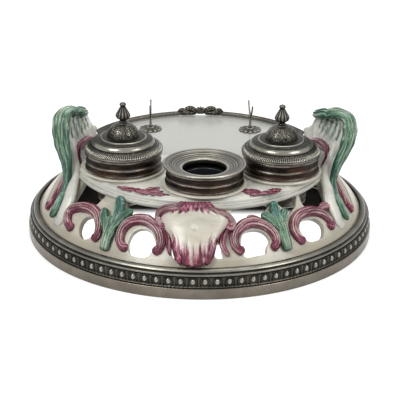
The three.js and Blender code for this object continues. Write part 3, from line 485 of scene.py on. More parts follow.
footCorners = footProfile([
    (0, 0, 0.3), (0, 9.5, 0.15), (10, 9.5, 0.8), (10, 7.3, 0.8), (2.2, 7.3, 0.9), (2.2, 2.2, 0.9),
    (10, 2.2, 0.9), (10, 0, 0.8),
])
mouldingCorners = footProfile([
    (21, 19.3, 0.9), (3, 19.3, 0.6), (2.8, 20.2, 0.1), (3.2, 21.1, 0.4), (5.0, 21.4, 1.0), (5.3, 22.2, 0.9),
    (4.9, 22.9, 0.1), (5.9, 24.2, 0.3), (8.2, 24.9, 0.7), (9.7, 24.9, 0.9), (9.7, 21.9, 0.9), (21, 21.9, 0.9),
])
footBand = lathe(footCorners, sides=footRing["sides"], rounding=0.7, step=2.4)
makePiece("footBand", [footBand], footSilver)
topMoulding = lathe(mouldingCorners, sides=footRing["sides"], rounding=0.35, step=2.5)
makePiece("topMoulding", [topMoulding], wornSilver)


def eggBand():
    # egg and dart: each egg is half an ellipsoid, framed by a raised rim at 1.5 times its size,
    # with a tapering dart midway to the next egg
    ring = footRing
    height = ring["eggTop"] - ring["eggBase"]
    rows, columns = 21, 14
    face = np.linspace(0, 1, rows)
    z = ring["eggBase"] + height * np.concatenate([face, [1, 1, 0]])
    r = ring["radius"] - 1.4 - np.concatenate([np.full(rows, ring["eggDepth"]), [1.0, 5.6, 5.6]])
    outer = np.concatenate([np.ones(rows), [0, 0, 0]])
    sides = ring["eggs"] * columns
    turn = np.linspace(0, 2 * np.pi, sides, endpoint=False)[None, :]
    pitch = 2 * np.pi * ring["radius"] / ring["eggs"]
    x = ((turn / (2 * np.pi) * ring["eggs"]) % 1 - 0.5) * pitch
    y = (z - ring["eggBase"] - height * 0.52)[:, None]
    reach = np.sqrt((x / ring["eggWide"]) ** 2 + (y / ring["eggTall"]) ** 2)
    egg = np.sqrt(np.clip(1 - reach ** 2, 0, 1))
    frameRim = 0.55 * bump(reach, 1.5, 0.2) * (y < 2.6)
    dart = 0.7 * bump(np.abs(x), pitch / 2, 0.55 + 0.12 * (y + 4.5)) * (np.abs(y) < 4)
    border = 0.8 * ramp(np.abs(y), 3.9, 4.4) + 0 * x
    lift = np.maximum.reduce([egg, frameRim, dart, border]) * outer[:, None]
    points = around(r[:, None] + ring["eggDepth"] * lift, turn, z[:, None])
    dark = 1.0 - 0.5 * lift - 0.9 * egg * outer[:, None] + 0.8 * (1 - outer[:, None])
    return points, gridFaces(len(z), sides, True, True), {"dark": np.clip(dark, 0, 1)}


makePiece("eggBand", [eggBand()], wornSilver)
print("foot ring made")


# apron: sloping wall between the foot and the deck; its ornament is placed by angle and height
apron = dict(
    base=22.2, top=61.7, neckHeight=62.0, seatRadius=150.0, neckRadius=115.5, sway=0.03, wall=4.8, bevel=0.9,
    arcPerDegree=2.3,
)


def apronRadius(z):
    # straight slope from the seat to the neck with a slight S in it
    t = (z - apron["base"]) / (apron["neckHeight"] - apron["base"])
    return mix(apron["seatRadius"], apron["neckRadius"], t - apron["sway"] * np.sin(2 * np.pi * t))


def apronOut(angle, z):
    # direction straight out of the wall
    slope = apronRadius(z + 0.5) - apronRadius(z - 0.5)
    return unit(around(1, np.radians(angle), -slope))


def onApron(angle, z, out=0.0):
    # point on the wall, or some way out of it
    place = around(apronRadius(z), np.radians(angle), z)
    return place + apronOut(angle, z) * np.asarray(out)[..., None]


# openings of the apron as outlines of angle and height
windows = {
    "leftInner": [
        (-25.9, 36), (-25.6, 41.6), (-24.1, 45), (-21.9, 46.3), (-19.4, 45.8), (-17.4, 43.2), (-16.1, 40),
        (-15.1, 35.7), (-16.6, 31.6), (-17.6, 28.6), (-21.5, 27.8), (-24.2, 29.4),
    ],
    "leftOuter": [
        (-49.3, 38.5), (-48.9, 42.2), (-46.5, 44.8), (-43.8, 43.6), (-41.4, 40), (-40.7, 35.6), (-42.2, 30.6),
        (-45, 29.6), (-47.9, 33.2),
    ],
    "leftOver": [
        (-33, 62.9), (-17, 62.9), (-15.4, 57), (-13.6, 52.6), (-15.1, 49.4), (-17.5, 51.2), (-20.4, 54.2),
        (-24.2, 55.2), (-27.6, 53.2), (-30.6, 54.5),
    ],
    "leftBeside": [(-9.5, 41.8), (-7.9, 41), (-7.3, 36), (-6.9, 30.2), (-8.7, 30.2), (-9.8, 35.7)],
    "leftDark": [
        (-64, 62.9), (-46, 62.9), (-46.2, 56.4), (-47.6, 52.6), (-52.1, 50.6), (-57.2, 47), (-61.6, 46.2),
        (-63.4, 52.5),
    ],
    "rightInner": [
        (15.8, 43.2), (17.4, 45.8), (20.8, 46.4), (23.9, 45.1), (25.7, 41.9), (25.9, 38), (24, 34.4),
        (23, 30.4), (19.2, 29.6), (15.6, 29.8), (14.9, 35.7), (15, 39.7),
    ],
    "rightOuter": [
        (39.9, 40.8), (41.8, 44), (45.3, 44.9), (49.6, 42.9), (51.7, 38), (50.4, 33), (47.6, 29.8),
        (41.6, 30.4), (39.8, 35.6),
    ],
    "rightOver": [
        (13.2, 62.9), (30.4, 62.9), (28.2, 57.2), (26.1, 54), (24.4, 52.8), (20.4, 53.3), (17, 51.6),
        (14.3, 49.6), (13.6, 53.7), (13.2, 57.2),
    ],
    "rightBeside": [(6.2, 40.6), (7.6, 39.6), (7.7, 35.2), (7.8, 30.4), (5.5, 30.8), (5.1, 36.2)],
    "rightCrescent": [(34.2, 62.9), (45.6, 62.9), (44.4, 55.9), (41.3, 53), (37.4, 50.8), (36.9, 55.4)],
    "rightDark": [
        (48.4, 62.9), (66, 62.9), (65.6, 52.5), (61.6, 47), (57, 48.2), (53.4, 48.6), (49.4, 50.6), (47.6, 55),
    ],
}


def piercedApron():
    # wall between two turned skins, its quads dropped inside each opening
    angles = np.concatenate([np.linspace(-70, 70, 330), np.linspace(71.5, 288.5, 150)])
    heights = np.linspace(apron["base"], apron["top"], 46)
    z, angle = np.meshgrid(heights, angles, indexing="ij")
    keep = np.ones((len(heights) - 1, len(angles)), bool)
    for outline in windows.values():
        closed = smoothCourse(list(outline) + [outline[0]], 70, apron["arcPerDegree"])[:-1]
        pierce(angle, z, keep, closed)
    edge = ramp(z, apron["base"] + 3, apron["base"])
    # darker towards the foot: partly the glaze's own olive staining, partly painted shade
    masks = {"line": 0.25 * edge + 0.1 * bump(z, 27.6, 0.5), "stain": 0.15 + 0.75 * ramp(z, 36, 25)}
    return thickSheet(onApron(angle, z), onApron(angle, z, -apron["wall"]), keep, masks)


apronPiece = makePiece("piercedApron", [piercedApron()], creamGlaze, nodes=["apron_wall"])
softEdges = apronPiece.modifiers.new("softEdges", "BEVEL")
softEdges.width, softEdges.segments = apron["bevel"] * mm, 2
softEdges.limit_method, softEdges.angle_limit = "ANGLE", math.radians(50)
print("apron pierced")


def apronBand(stops, count, out, halfWidth, halfDepth, **shape):
    # band laid on the apron along stops of angle and height; out, halfWidth and halfDepth are
    # numbers or functions of the share of its length
    course = smoothCourse(stops, count, apron["arcPerDegree"])
    t = np.linspace(0, 1, count)
    widths = halfWidth(t) if callable(halfWidth) else halfWidth * roundEnds(t, 0.1, 0.1)
    depths = halfDepth(t) if callable(halfDepth) else halfDepth * roundEnds(t, 0.1, 0.1)
    lift = out(t) if callable(out) else np.full(count, out)
    path = onApron(course[:, 0], course[:, 1], lift)
    return band(path, apronOut(course[:, 0], course[:, 1]), widths, depths, **shape)


def fluteLines(across, front, ridge, edge, groove, power=3, low=0.74, high=0.95):
    # painted outline along both edges, and thinner lines down the grooves
    return edge * ramp(np.abs(across), low, high) + groove * (1 - ridge) ** power * front


def leafPaint(deep, edge):
    # puce, thinner on the ridges
    def paint(t, across, front, ridge):
        return {"puce": deep - 0.5 * front * ridge, "line": fluteLines(across, front, ridge, edge, 0.4)}
    return paint


# scrolls that curl round the openings
scrollShape = dict(halfWidth=5.0, halfDepth=3.7, out=1.0)
scrolls = {
    "leftOuterScroll": [
        (-50.6, 32), (-54.4, 34), (-57.2, 37.9), (-57.5, 42.1), (-55.4, 45.5), (-51.5, 48.1), (-47.4, 48.9),
        (-43.5, 47.2), (-40.6, 43.2), (-39, 38.7), (-38.6, 34.4), (-40, 31),
    ],
    "leftInnerScroll": [
        (-24.9, 33.2), (-27, 32.6), (-28.9, 36.3), (-29.6, 40.7), (-29.2, 45.2), (-27.5, 49.2), (-24.8, 51.4),
        (-21.6, 51.9), (-18.6, 50.3), (-16.1, 47.2), (-14.3, 42.9), (-13.6, 38.6), (-14.1, 34.5),
        (-16.2, 32.6),
    ],
    "rightInnerScroll": [
        (25.2, 33.6), (27.1, 34), (28.3, 37.8), (28.1, 41.9), (26.8, 46.1), (24.3, 49.4), (21.2, 51.1),
        (17.8, 50.6), (15, 47.7), (13.1, 44), (12.5, 39.4), (13.4, 35.3), (15.6, 32.8),
    ],
    "rightOuterScroll": [
        (39.2, 31), (37.2, 35.1), (36.8, 39.8), (38.1, 44.4), (41.2, 47.9), (45.1, 48.8), (49.7, 47.8),
        (53.2, 44.6), (54.9, 40.5), (55.3, 36.1), (53.6, 31.2),
    ],
}
# a tuft behind the right outer scroll, and a small curl on the back of both inner scrolls
tuft = dict(
    stops=[(54.0, 46.2), (57.3, 46.6), (60.6, 43.6), (61.7, 38.6), (60.0, 34.2)],
    out=1.6, halfWidth=4.4, halfDepth=3.0,
)
curls = {
    "leftInnerScroll": dict(
        stops=[(-24.6, 50.6), (-22.4, 53.6), (-20.4, 54.2), (-19.6, 52.6)], out=2.4, halfWidth=2.0, deep=0.7,
    ),
    "rightInnerScroll": dict(
        stops=[(25.6, 49.0), (23.0, 53.0), (20.6, 54.6), (19.4, 53.8)], out=2.0, halfWidth=2.2, deep=1.0,
    ),
}


def scrollWidth(t):
    # full in the middle, slimmer towards the ends, with a knob at each end
    body = 0.56 + 0.44 * np.sin(np.pi * t) ** 0.7
    knobs = 0.2 * (bump(t, 0.035, 0.035) + bump(t, 0.965, 0.035))
    return scrollShape["halfWidth"] * (body + knobs) * roundEnds(t, 0.05, 0.05)


def scrollDepth(t):
    return scrollShape["halfDepth"] * (0.7 + 0.3 * np.sin(np.pi * t)) * roundEnds(t, 0.05, 0.05)


def scrollPaint(t, across, front, ridge):
    # pale along the crests of the flutes, a painted highlight, deep in the grooves and at the knobs
    pale = front * ridge ** 2 * (0.85 + 0.25 * np.sin(9 * t + 2 * across))
    pale = pale * ramp(np.minimum(t, 1 - t), 0.03, 0.14)
    return {"puce": 1.08 - 1.02 * pale, "line": fluteLines(across, front, ridge, 0.85, 0.8, 2.5)}


def tuftWidth(t):
    return tuft["halfWidth"] * np.sin(np.pi * t) ** 0.6


def tuftDepth(t):
    return tuft["halfDepth"] * np.sin(np.pi * t) ** 0.5


for name, stops in scrolls.items():
    flutes = dict(ribs=48, flutes=4, groove=0.36, wander=1.3, paint=scrollPaint)
    parts = [apronBand(stops, 120, scrollShape["out"], scrollWidth, scrollDepth, **flutes)]
    if name == "rightOuterScroll":
        flutes = dict(ribs=28, flutes=4, groove=0.4, paint=leafPaint(1.0, 0.3))
        parts.append(apronBand(tuft["stops"], 50, tuft["out"], tuftWidth, tuftDepth, **flutes))
    if name in curls:
        curl = curls[name]
        flutes = dict(ribs=20, flutes=2, groove=0.3, paint=leafPaint(curl["deep"], 0.4))
        parts.append(apronBand(curl["stops"], 36, curl["out"], curl["halfWidth"], 2.0, **flutes))
    makePiece(name, parts, creamGlaze)

# narrow leaves on both sides of the shield
narrowLeaves = {
    "leftNarrowLeaf": [(-14.6, 48.6), (-12.2, 46.1), (-10.9, 41.8), (-10.5, 37.1), (-9.9, 31.6)],
    "rightNarrowLeaf": [(12, 48.8), (9.6, 46), (8.3, 40.9), (8.5, 36.2), (10, 31)],
}
narrowLeaf = dict(out=1.2, halfWidth=3.0, halfDepth=2.9)


def narrowWidth(t):
    return narrowLeaf["halfWidth"] * (0.55 + 0.45 * np.sin(np.pi * t)) * roundEnds(t, 0.14, 0.1)


def narrowDepth(t):
    return narrowLeaf["halfDepth"] * roundEnds(t, 0.12, 0.1)


for name, stops in narrowLeaves.items():
    flutes = dict(ribs=28, flutes=2, groove=0.35, paint=leafPaint(1.0, 0.5))
    leaf = apronBand(stops, 60, narrowLeaf["out"], narrowWidth, narrowDepth, **flutes)
    makePiece(name, [leaf], creamGlaze)
print("scrolls made")


# leaf stems: a fluted stalk that opens into three lobed leaflets, the middle one taller and bluer
stemShape = dict(stalkWidth=4.3, stalkSpread=2.6, stalkDepth=3.4, leafDepth=2.5)
# half width of each leaflet, how much further its tip stands off the apron, and how blue it is
leaflets = [(4.4, 0, 0.3), (5.2, 2.2, 1.0), (4.4, 0, 0.3)]
stems = {
    "leftLeafStem": {
        "stalk": [(-33.2, 26.8), (-33.6, 32.8), (-34.1, 38.5), (-34.6, 44.2), (-34.9, 50)],
        "lobes": [
            [(-34.6, 36), (-36.6, 42), (-39, 47.5), (-40.3, 53)],
            [(-34.4, 42), (-33.9, 50), (-33.9, 57.5), (-34.9, 64.4)],
            [(-33.9, 36), (-32.6, 44), (-30.8, 51), (-27.6, 56.6)],
        ],
    },
    "rightLeafStem": {
        "stalk": [(31.2, 28.6), (31.3, 35.7), (31.5, 41.3), (31.5, 47.2), (31.5, 52)],
        "lobes": [
            [(30.9, 40), (29.7, 46.5), (27.8, 51.6), (25, 55.2)],
            [(31.4, 42), (31.1, 49.5), (31.2, 56), (31.3, 62.6)],
            [(31.9, 40), (32.6, 46.5), (34.2, 50.6), (36.2, 55)],
        ],
    },
}


def stemPaint(teal):
    # green all over, thinner on the crests and towards the stalk's foot so that the pale glaze shows through as a
    # painted highlight
    def paint(t, across, front, ridge):
        thin = front * ridge * (0.18 + 0.24 * np.sin(11 * t + 3 * across))
        thin = thin + 0.3 * (1 - ramp(t, 0.1, 0.6)) * front * (teal == 0)
        lines = fluteLines(across, front, ridge, 0.8, 0.65, 2, 0.76, 0.96)
        return {"green": 0.97 - thin * (1 - teal * 0.6), "cool": teal * ramp(t, 0.2, 0.6), "line": lines}
    return paint


def leafStalk(stops):
    def width(t):
        return (stemShape["stalkWidth"] + stemShape["stalkSpread"] * t) * roundEnds(t, 0.06, 0.12)

    def depth(t):
        return stemShape["stalkDepth"] * roundEnds(t, 0.06, 0.12)
    flutes = dict(ribs=44, flutes=4, groove=0.34, wander=1.2, paint=stemPaint(0.0))
    return apronBand(stops, 60, lambda t: 1.4 + 1.2 * t, width, depth, **flutes)


def leaflet(stops, wide, rise, teal):
    # lobed edges, and standing further off the apron towards its tip
    def width(t):
        body = 0.42 + 0.58 * np.sin(np.pi * np.clip(t, 0, 1) ** 1.5) ** 0.8 + 0.05 * np.cos(34 * t)
        return wide * body * roundEnds(t, 0.1, 0.09)

    def depth(t):
        return stemShape["leafDepth"] * roundEnds(t, 0.1, 0.1)
    flutes = dict(ribs=40, flutes=3, groove=0.5, wander=1.0, paint=stemPaint(teal))
    return apronBand(stops, 64, lambda t: 2.4 + 1.6 * t + rise * t * t, width, depth, **flutes)


for name, stem in stems.items():
    parts = [leaflet(stops, *shape) for stops, shape in zip(stem["lobes"], leaflets)]
    makePiece(name, [leafStalk(stem["stalk"])] + parts, leafGlaze)
print("leaf stems made")


cartouche = dict(
    top=72.3, foot=32.0, middle=-1.8, thickness=5.0, bulge=6.4, edgeRadius=118.0, nubHeight=53, nub=1.3,
    strands=11, shellRibs=9,
)
# half width of the shield in degrees at each height
cartoucheEdge = smoothCourse([
    (24, 4.4), (30, 5.8), (36, 7), (42, 8), (47, 9.4), (51, 11.4), (54.5, 12.9), (58, 13.2), (62, 11.8),
    (66, 9), (70, 6.6), (73, 5.6),
], 120)


def cartoucheStrands(u, v):
    return np.cos(2 * np.pi * cartouche["strands"] * v + 2.2 * np.sin(5 * u + 9 * v))


def cartoucheSurface(u, v):
    # shield: the height runs from the top to a foot of five tips, the width follows the edge table,
    # and the middle stands out as half an ellipse with a small nub on it
    across = np.clip(2 * v - 1, -1.05, 1.05)
    tips = 4.0 * np.abs(np.sin(np.pi * 5 * v + 0.25)) ** 0.8 + 2.4 * (1 - across ** 2)
    z = mix(cartouche["top"], cartouche["foot"] - tips, u)
    half = np.interp(z, cartoucheEdge[:, 0], cartoucheEdge[:, 1])
    lift = np.clip(np.sin(np.pi * np.clip(u, 0, 1)), 0, 1) ** 0.6
    out = cartouche["bulge"] * np.sqrt(np.clip(1 - across ** 2, 0, 1)) * lift
    fromNub = (across * half * 2.3) ** 2 + (z - cartouche["nubHeight"]) ** 2
    out = out + cartouche["nub"] * np.exp(-fromNub / 2.2)
    flames = cartoucheStrands(u, v) * ramp(u, 0.85 - 0.25 * np.abs(across), 1.0 - 0.1 * np.abs(across))
    shell = np.cos(2 * np.pi * cartouche["shellRibs"] * v) * (1 - ramp(u, 0.06, 0.28))
    out = out + 0.6 * flames + 0.6 * shell
    wall, lipRadius = apronRadius(z), cartouche["edgeRadius"]
    soft = np.sqrt((wall - lipRadius) ** 2 + 30)   # soft maximum of the wall's and the lip's radius
    r = (wall + lipRadius + soft) / 2 + out + cartouche["thickness"] / 2
    return around(r, np.radians(cartouche["middle"] + across * half), z)


def cartoucheThickness(u, v):
    rim = np.minimum(np.minimum(v, 1 - v) * 7, np.minimum(u, 1 - u) * 9)
    return cartouche["thickness"] * np.sqrt(np.clip(1 - (1 - np.clip(rim, 0, 1)) ** 2, 0, 1))


def cartouchePaint(u, v):
    # flame strokes rise from the foot, highest along the sides; the shell's strands run down from
    # the top, longest at the shoulders, and leave the middle pale
    across = np.abs(2 * v - 1)
    strand = 0.5 + 0.5 * cartoucheStrands(u, v)
    start = 0.66 - 0.24 * across ** 1.3 + 0.04 * np.sin(37 * v) + 0.03 * np.sin(83 * v + 2)
    flames = ramp(u, start, start + 0.24) * (0.55 + 0.45 * strand)
    reach = 0.07 + 0.12 * across + 0.025 * np.sin(61 * v)
    ribs = np.cos(2 * np.pi * cartouche["shellRibs"] * v) ** 2
    shell = (1 - ramp(u, reach, reach + 0.07)) * (0.7 + 0.3 * ribs)
    rim = 0.7 * ramp(across, 0.93, 0.99) * ramp(u, 0.45, 0.6)
    grooves = ramp(u, start + 0.12, start + 0.26) * (1 - strand) ** 2
    edges = 0.4 * ramp(u, 0.95, 1.0) + 0.3 * ramp(0.04 - u, 0, 0.02) + 0.25 * ramp(across, 0.96, 1.0)
    z = mix(cartouche["top"], cartouche["foot"], u)
    wide = np.interp(z, cartoucheEdge[:, 0], cartoucheEdge[:, 1])
    return {
        "puce": np.maximum.reduce([flames, shell, rim]), "line": 0.5 * grooves + edges,
        "along": 0.24 * u, "across": ((2 * v - 1) * wide * 2.05 + 40) / 80,
    }


shield = sheet(cartoucheSurface, cartoucheThickness, 130, 110, cartouchePaint)
makePiece("cartouche", [shield], creamGlaze)

# brackets that run from the shield's neck down to its shoulders, clear of the deck's lip
bracketShape = dict(halfWidth=3.3, halfDepth=2.1, clearRadius=118.0, out=6.2)
brackets = {
    "leftBracket": [
        (-6, 71.3), (-8.8, 68.6), (-11.9, 67), (-14.6, 64.3), (-16, 59.9), (-15.7, 55.1), (-13.7, 52.4),
        (-12.4, 54.3),
    ],
    "rightBracket": [
        (1.6, 71.4), (3.4, 68.2), (5.6, 65.2), (8.6, 62.5), (11.2, 58.9), (12.7, 54.5), (11.9, 51.6),
        (10.2, 53.4),
    ],
}


def bracketPaint(t, across, front, ridge):
    # deep along the edges and at both ends, pale along the middle
    pale = front * (0.35 + 0.65 * ridge) * (1 - ramp(np.abs(across), 0.35, 0.8))
    pale = pale * ramp(np.minimum(t, 1 - t), 0.04, 0.2)
    return {"puce": 1.0 - 0.75 * pale, "line": fluteLines(across, front, ridge, 0.65, 0.4)}


t = np.linspace(0, 1, 80)
swell = 0.72 + 0.28 * np.sin(np.pi * t) + 0.25 * bump(t, 0.95, 0.05)
ends = roundEnds(t, 0.08, 0.05)
width, depth = bracketShape["halfWidth"] * swell * ends, bracketShape["halfDepth"] * ends
for name, stops in brackets.items():
    course = smoothCourse(stops, 80, apron["arcPerDegree"])
    angle, z = course[:, 0], course[:, 1]
    r = np.maximum(apronRadius(z), bracketShape["clearRadius"]) + bracketShape["out"] + 0.6 * np.sin(np.pi * t)
    flutes = dict(ribs=40, flutes=4, groove=0.4, wander=1.0, paint=bracketPaint)
    bracket = band(around(r, np.radians(angle), z), apronOut(angle, z), width, depth, **flutes)
    makePiece(name, [bracket], creamGlaze)
print("cartouche made")


# deck: pen tray with a moulded lip, and a terrace in front under the wells
deck = dict(
    trayTop=70.5, terraceRise=2.0, terraceBack=-8.0, underside=62.0, plate=6.0, boreRadius=24.3, ringLine=37.6,
)
# where the three wells stand on the deck
wells = {"left": (-68.0, -45.0), "centre": (4.0, -81.0), "right": (71.5, -48.0)}
# radius and height down the lip
lip = np.array([
    (112, 70.5), (113, 70.3), (113.5, 69.8), (113.6, 69.2), (114.4, 68.9), (115.2, 68.4), (115.6, 67.7),
    (115.6, 66.9), (115.5, 66.4), (115.9, 65.9), (116.8, 65.6), (117.4, 65), (117.5, 64), (117.4, 63.2),
    (116.9, 62.4), (116.3, 62),
])


def deckShape():
    # polar grid from the middle over the tray floor and down the moulded lip; the front part is
    # raised to the terrace, and the lip grows taller with it
    flat = np.arange(0, 112, 1.8)
    r = np.concatenate([flat, lip[:, 0]])
    z = np.concatenate([np.full(len(flat), deck["trayTop"]), lip[:, 1]])
    angle = np.linspace(0, 360, 320, endpoint=False)
    rr, aa = np.meshgrid(r, np.radians(angle), indexing="ij")
    x, y = rr * np.sin(aa), -rr * np.cos(aa)
    keep = np.ones((len(r) - 1, len(angle)), bool)
    circle = np.radians(np.arange(0, 360, 5))
    bore = deck["boreRadius"] * np.stack([np.cos(circle), np.sin(circle)], 1)
    for place in wells.values():
        pierce(x, y, keep, bore + place)
    raised = ramp(-y, -deck["terraceBack"] - 1.5, -deck["terraceBack"] + 1.5)
    share = (z[:, None] - deck["underside"]) / (deck["trayTop"] - deck["underside"])
    top = z[:, None] + deck["terraceRise"] * raised * share
    below = np.where(r < 100, deck["trayTop"] - deck["plate"], deck["underside"])
    inner = np.interp(r, [0, 101, 112, 116.3], [0, 101, 104, 115.8])
    shrink = np.where(rr > 1e-6, inner[:, None] / np.maximum(rr, 1e-6), 1)
    front = np.stack([x, y, top], -1)
    back = np.stack([x * shrink, y * shrink, below[:, None] + 0 * x], -1)
    # thin brown lines down the lip, along its edge, and round each well
    onLip = ramp(rr, 112.5, 113.4)
    line = 0.55 * onLip * (bump(top, 66.4, 0.35) + 0.6 * bump(top, 69.4, 0.3))
    line = line + 0.25 * bump(rr, 112.4, 0.8) * raised
    for px, py in wells.values():
        line = line + 0.4 * raised * (1 - onLip) * bump(np.hypot(x - px, y - py), deck["ringLine"], 0.7)
    floorTone = (1 - ramp(rr, 111, 113)) * (1 - raised)
    return thickSheet(front, back, keep, {"line": line, "stain": floorTone})


makePiece("deck", [deckShape()], deckGlaze)

# painted sprigs in low relief on the terrace: the stops of each stroke and its width
sprigShape = dict(spread=1.9, depth=0.9, sink=0.1)
sprigs = {
    "leftSprig": [
        ([(-71.5, -88.5), (-62, -93.4), (-52.5, -96.4), (-45, -96)], 2),
        ([(-56, -99.5), (-47, -99.8), (-39.5, -95.6), (-34.5, -88.6)], 2.6),
        ([(-53, -101.5), (-43.5, -102.6), (-33.8, -105.6), (-24.6, -107.4)], 1.9),
        ([(-47, -96.6), (-41.5, -93.4), (-38.6, -89.4)], 1.8),
        ([(-44, -100.5), (-36.5, -101.2), (-31, -98.6)], 1.9),
    ],
    "rightSprig": [
        ([(33.5, -90.5), (38.2, -95.6), (45, -98.8), (53, -99.2)], 2.7),
        ([(44, -101.5), (52.5, -100.8), (60.5, -99), (69.5, -95.6)], 1.9),
        ([(38, -100.2), (44.5, -102.6), (52, -102.4)], 1.8),
        ([(40, -93), (45.6, -95.6), (52, -96)], 1.8),
        ([(57, -96.4), (64, -93.5), (70.5, -91.2)], 1.6),
    ],
}


def sprigPaint(t, across, front, ridge):
    line = 0.8 * ramp(np.abs(across), 0.75, 0.97) + 0.3 * (1 - ridge) ** 2
    return {"puce": 1.0 - 0.4 * front * ridge, "line": line}


def sprigStroke(stops, wide):
    t = np.linspace(0, 1, 40)
    height = np.full(40, deck["trayTop"] + deck["terraceRise"] - sprigShape["sink"])
    path = np.column_stack([smoothCourse(stops, 40), height])
    width = sprigShape["spread"] * wide * np.sin(np.pi * t) ** 0.6 * (1 + 0.22 * np.cos(26 * t))
    depth = sprigShape["depth"] * np.sin(np.pi * t) ** 0.5
    return band(path, (0, 0, 1), width, depth, ribs=18, flutes=2, groove=0.5, paint=sprigPaint)


for name, strokes in sprigs.items():
    makePiece(name, [sprigStroke(*stroke) for stroke in strokes], creamGlaze, nodes=[])
print("deck made")


# wells: earthenware cups, silver collars, ink glasses, lids and the open dish; the corners of each
# profile are radius, height, dark and chased
# on each cup the dark column marks the outside below the deck and the floor inside; there it becomes a dark brown
# line mask, painted shade
cupCorners = [
    (0, 45.5, 0.9), (22, 45.5, 0.9), (24, 47.5, 0.9), (24, 72.8, 0.9), (36.3, 72.8), (36.7, 73.6),
    (36.2, 74.7), (34.8, 74.8), (21.4, 74.8), (21.4, 48.1, 0.6), (0, 48.1, 0.6),
]
collarCorners = [
    (20.5, 75.1, 0.9), (33.9, 75.1, 0.7), (34.5, 75.9, 0.05), (34.2, 76.9, 0.4), (33.2, 77.5, 0.9),
    (32.8, 78.6, 0.95), (32.9, 80.4, 0.85), (33.6, 81.2, 0.1), (33.7, 82.1, 0), (33.1, 83, 0.8),
    (32.7, 84.4, 0.95), (32.8, 86.8, 0.85), (33.6, 87.8, 0.3), (34.5, 88.6, 0.1), (34.4, 89.8, 0.2),
    (34, 90.5, 0.8), (32, 90.5, 0.8), (32, 77.1, 0.9), (20.5, 77.1, 0.9),
]
linerCorners = [
    (0, 49.3), (18.7, 49.3), (20.2, 50.8), (20.2, 77.4), (22.8, 77.4), (22.8, 80.4), (18.2, 80.4),
    (18.2, 51.3), (0, 51.3),
]
lidCorners = [
    (30.1, 86.8, 0.9), (31.7, 86.8, 0.9), (31.7, 90.8, 0.9), (34.6, 90.8, 0.5), (35, 91.3, 0.05),
    (34.9, 91.9, 0.2), (34.6, 92.2, 0.85), (34.6, 92.6, 0.5), (33.6, 94, 0.35), (32.4, 94.8, 0.4),
    (32.1, 94.8, 0.9), (31.9, 95.2, 0.3), (31.1, 95.7, 0.3), (30.8, 95.7, 0.9), (30.5, 96, 0.2, 0.5),
    (29.3, 96.6, 0.6, 1), (28, 97, 1, 0.3), (28.1, 97.7, 0), (27.9, 98.9, 0), (26.8, 100.4, 0),
    (25.4, 101.2, 0.5, 0.6), (24.3, 101.2, 0.9, 0.8), (23.4, 101.5, 0.45, 1), (21.6, 102, 0.5, 1),
    (20.8, 102.2, 0.9), (20.5, 102.7, 0), (19.7, 103.2, 0), (19, 103, 0.9), (18.2, 103, 0.7, 0.8),
    (15.3, 103.4, 0.8, 0.8), (14.6, 103.5, 1), (14.4, 104.6, 0.4, 0.7), (13.4, 108.3, 0.05, 0.9),
    (10.8, 111.9, 0, 0.9), (7.4, 114.6, 0.2, 0.6), (5.2, 115.5, 0.5), (4.8, 116.2, 0.3), (1.9, 116.3, 0.8),
    (1.9, 114.7, 0.9), (4.5, 114.7, 0.9), (8.6, 111.3, 0.9), (12.7, 102.2, 0.9), (24.1, 99.5, 0.9),
    (30.1, 91.8, 0.9),
]
finialCorners = [
    (0, 111, 0.8), (1.6, 111, 0.8), (1.6, 116.6, 0.8), (3.4, 116.6, 0.5), (3.6, 117.1, 0.1), (2.6, 118, 0.8),
    (2.9, 118.8, 0.7), (4.6, 119.5, 0.3), (6.1, 120.9, 0.05), (6.4, 122.3, 0), (5.9, 124.2, 0.05),
    (4.4, 126.8, 0.15), (3.2, 129, 0.3), (2.3, 130.8, 0.7), (2.2, 131.3, 0.8), (2.9, 132, 0.5),
    (2.9, 132.9, 0.25), (2.1, 134, 0.3), (0, 134.3, 0.4),
]
dishCorners = [
    (30.1, 85.6, 0.9), (31.7, 85.6, 0.9), (31.7, 90.8, 0.9), (35.6, 90.8, 0.5), (36.3, 91.3, 0.05),
    (36.2, 92.1, 0), (35.4, 92.5, 0.1), (34, 92.4, 0.3), (33.5, 92, 0.95), (32.9, 92.1, 0.2),
    (31.2, 91.5, 0.55), (29.6, 90.9, 0.6), (28.7, 90.4, 0.9), (28.2, 90.5, 0.1), (27.3, 90.1, 0.4),
    (26.8, 89.6, 0.95), (26.3, 89.7, 0.2), (25, 89.3, 0.5), (24.5, 88.9, 0.95), (24, 89, 0.2),
    (22.6, 88.7, 0.4), (22.2, 88.4, 0.9), (21.6, 88.7, 0), (20, 88.5, 0), (19.1, 87.9, 0.2), (19, 84.6, 0.9),
    (20.6, 84.6, 0.9), (20.6, 86.2, 0.9), (26.1, 87.4, 0.9), (29.1, 88, 0.9),
]
lidShape = dict(reeds=124, reedDepth=0.7, reedHeight=0.9, lobes=14, lobeDepth=0.07)


def lidWave(r, z, turn):
    # slanting reeds on the sloping rim, a milled step above them, and shallow lobes round the small dome
    shape = lidShape
    zone = ramp(r, 31.0, 31.4) * (1 - ramp(r, 34.6, 34.8)) * ramp(z, 92.2, 92.6)
    reed = 0.5 + 0.5 * np.cos(shape["reeds"] * turn + 1.1 * (r - 31))
    step = ramp(r, 31.0, 31.2) * (1 - ramp(r, 31.9, 32.1)) * ramp(z, 95, 95.2)
    milled = step * (0.5 + 0.5 * np.cos(shape["reeds"] * turn))
    dome = ramp(z, 104.4, 106) * (1 - ramp(z, 112, 115)) * (r > 6)
    lobes = np.cos(shape["lobes"] * turn + 0.5 * np.sin(3 * z))
    darker = zone * (1.0 - 2.0 * reed) + 0.9 * milled + 0.15 * dome * ramp(-lobes, 0.2, 0.9) + 0.1
    outwards = shape["reedDepth"] * zone * (reed - 0.5) + shape["lobeDepth"] * dome * lobes
    return outwards, shape["reedHeight"] * zone * (reed - 0.5) - 0.3 * milled, darker


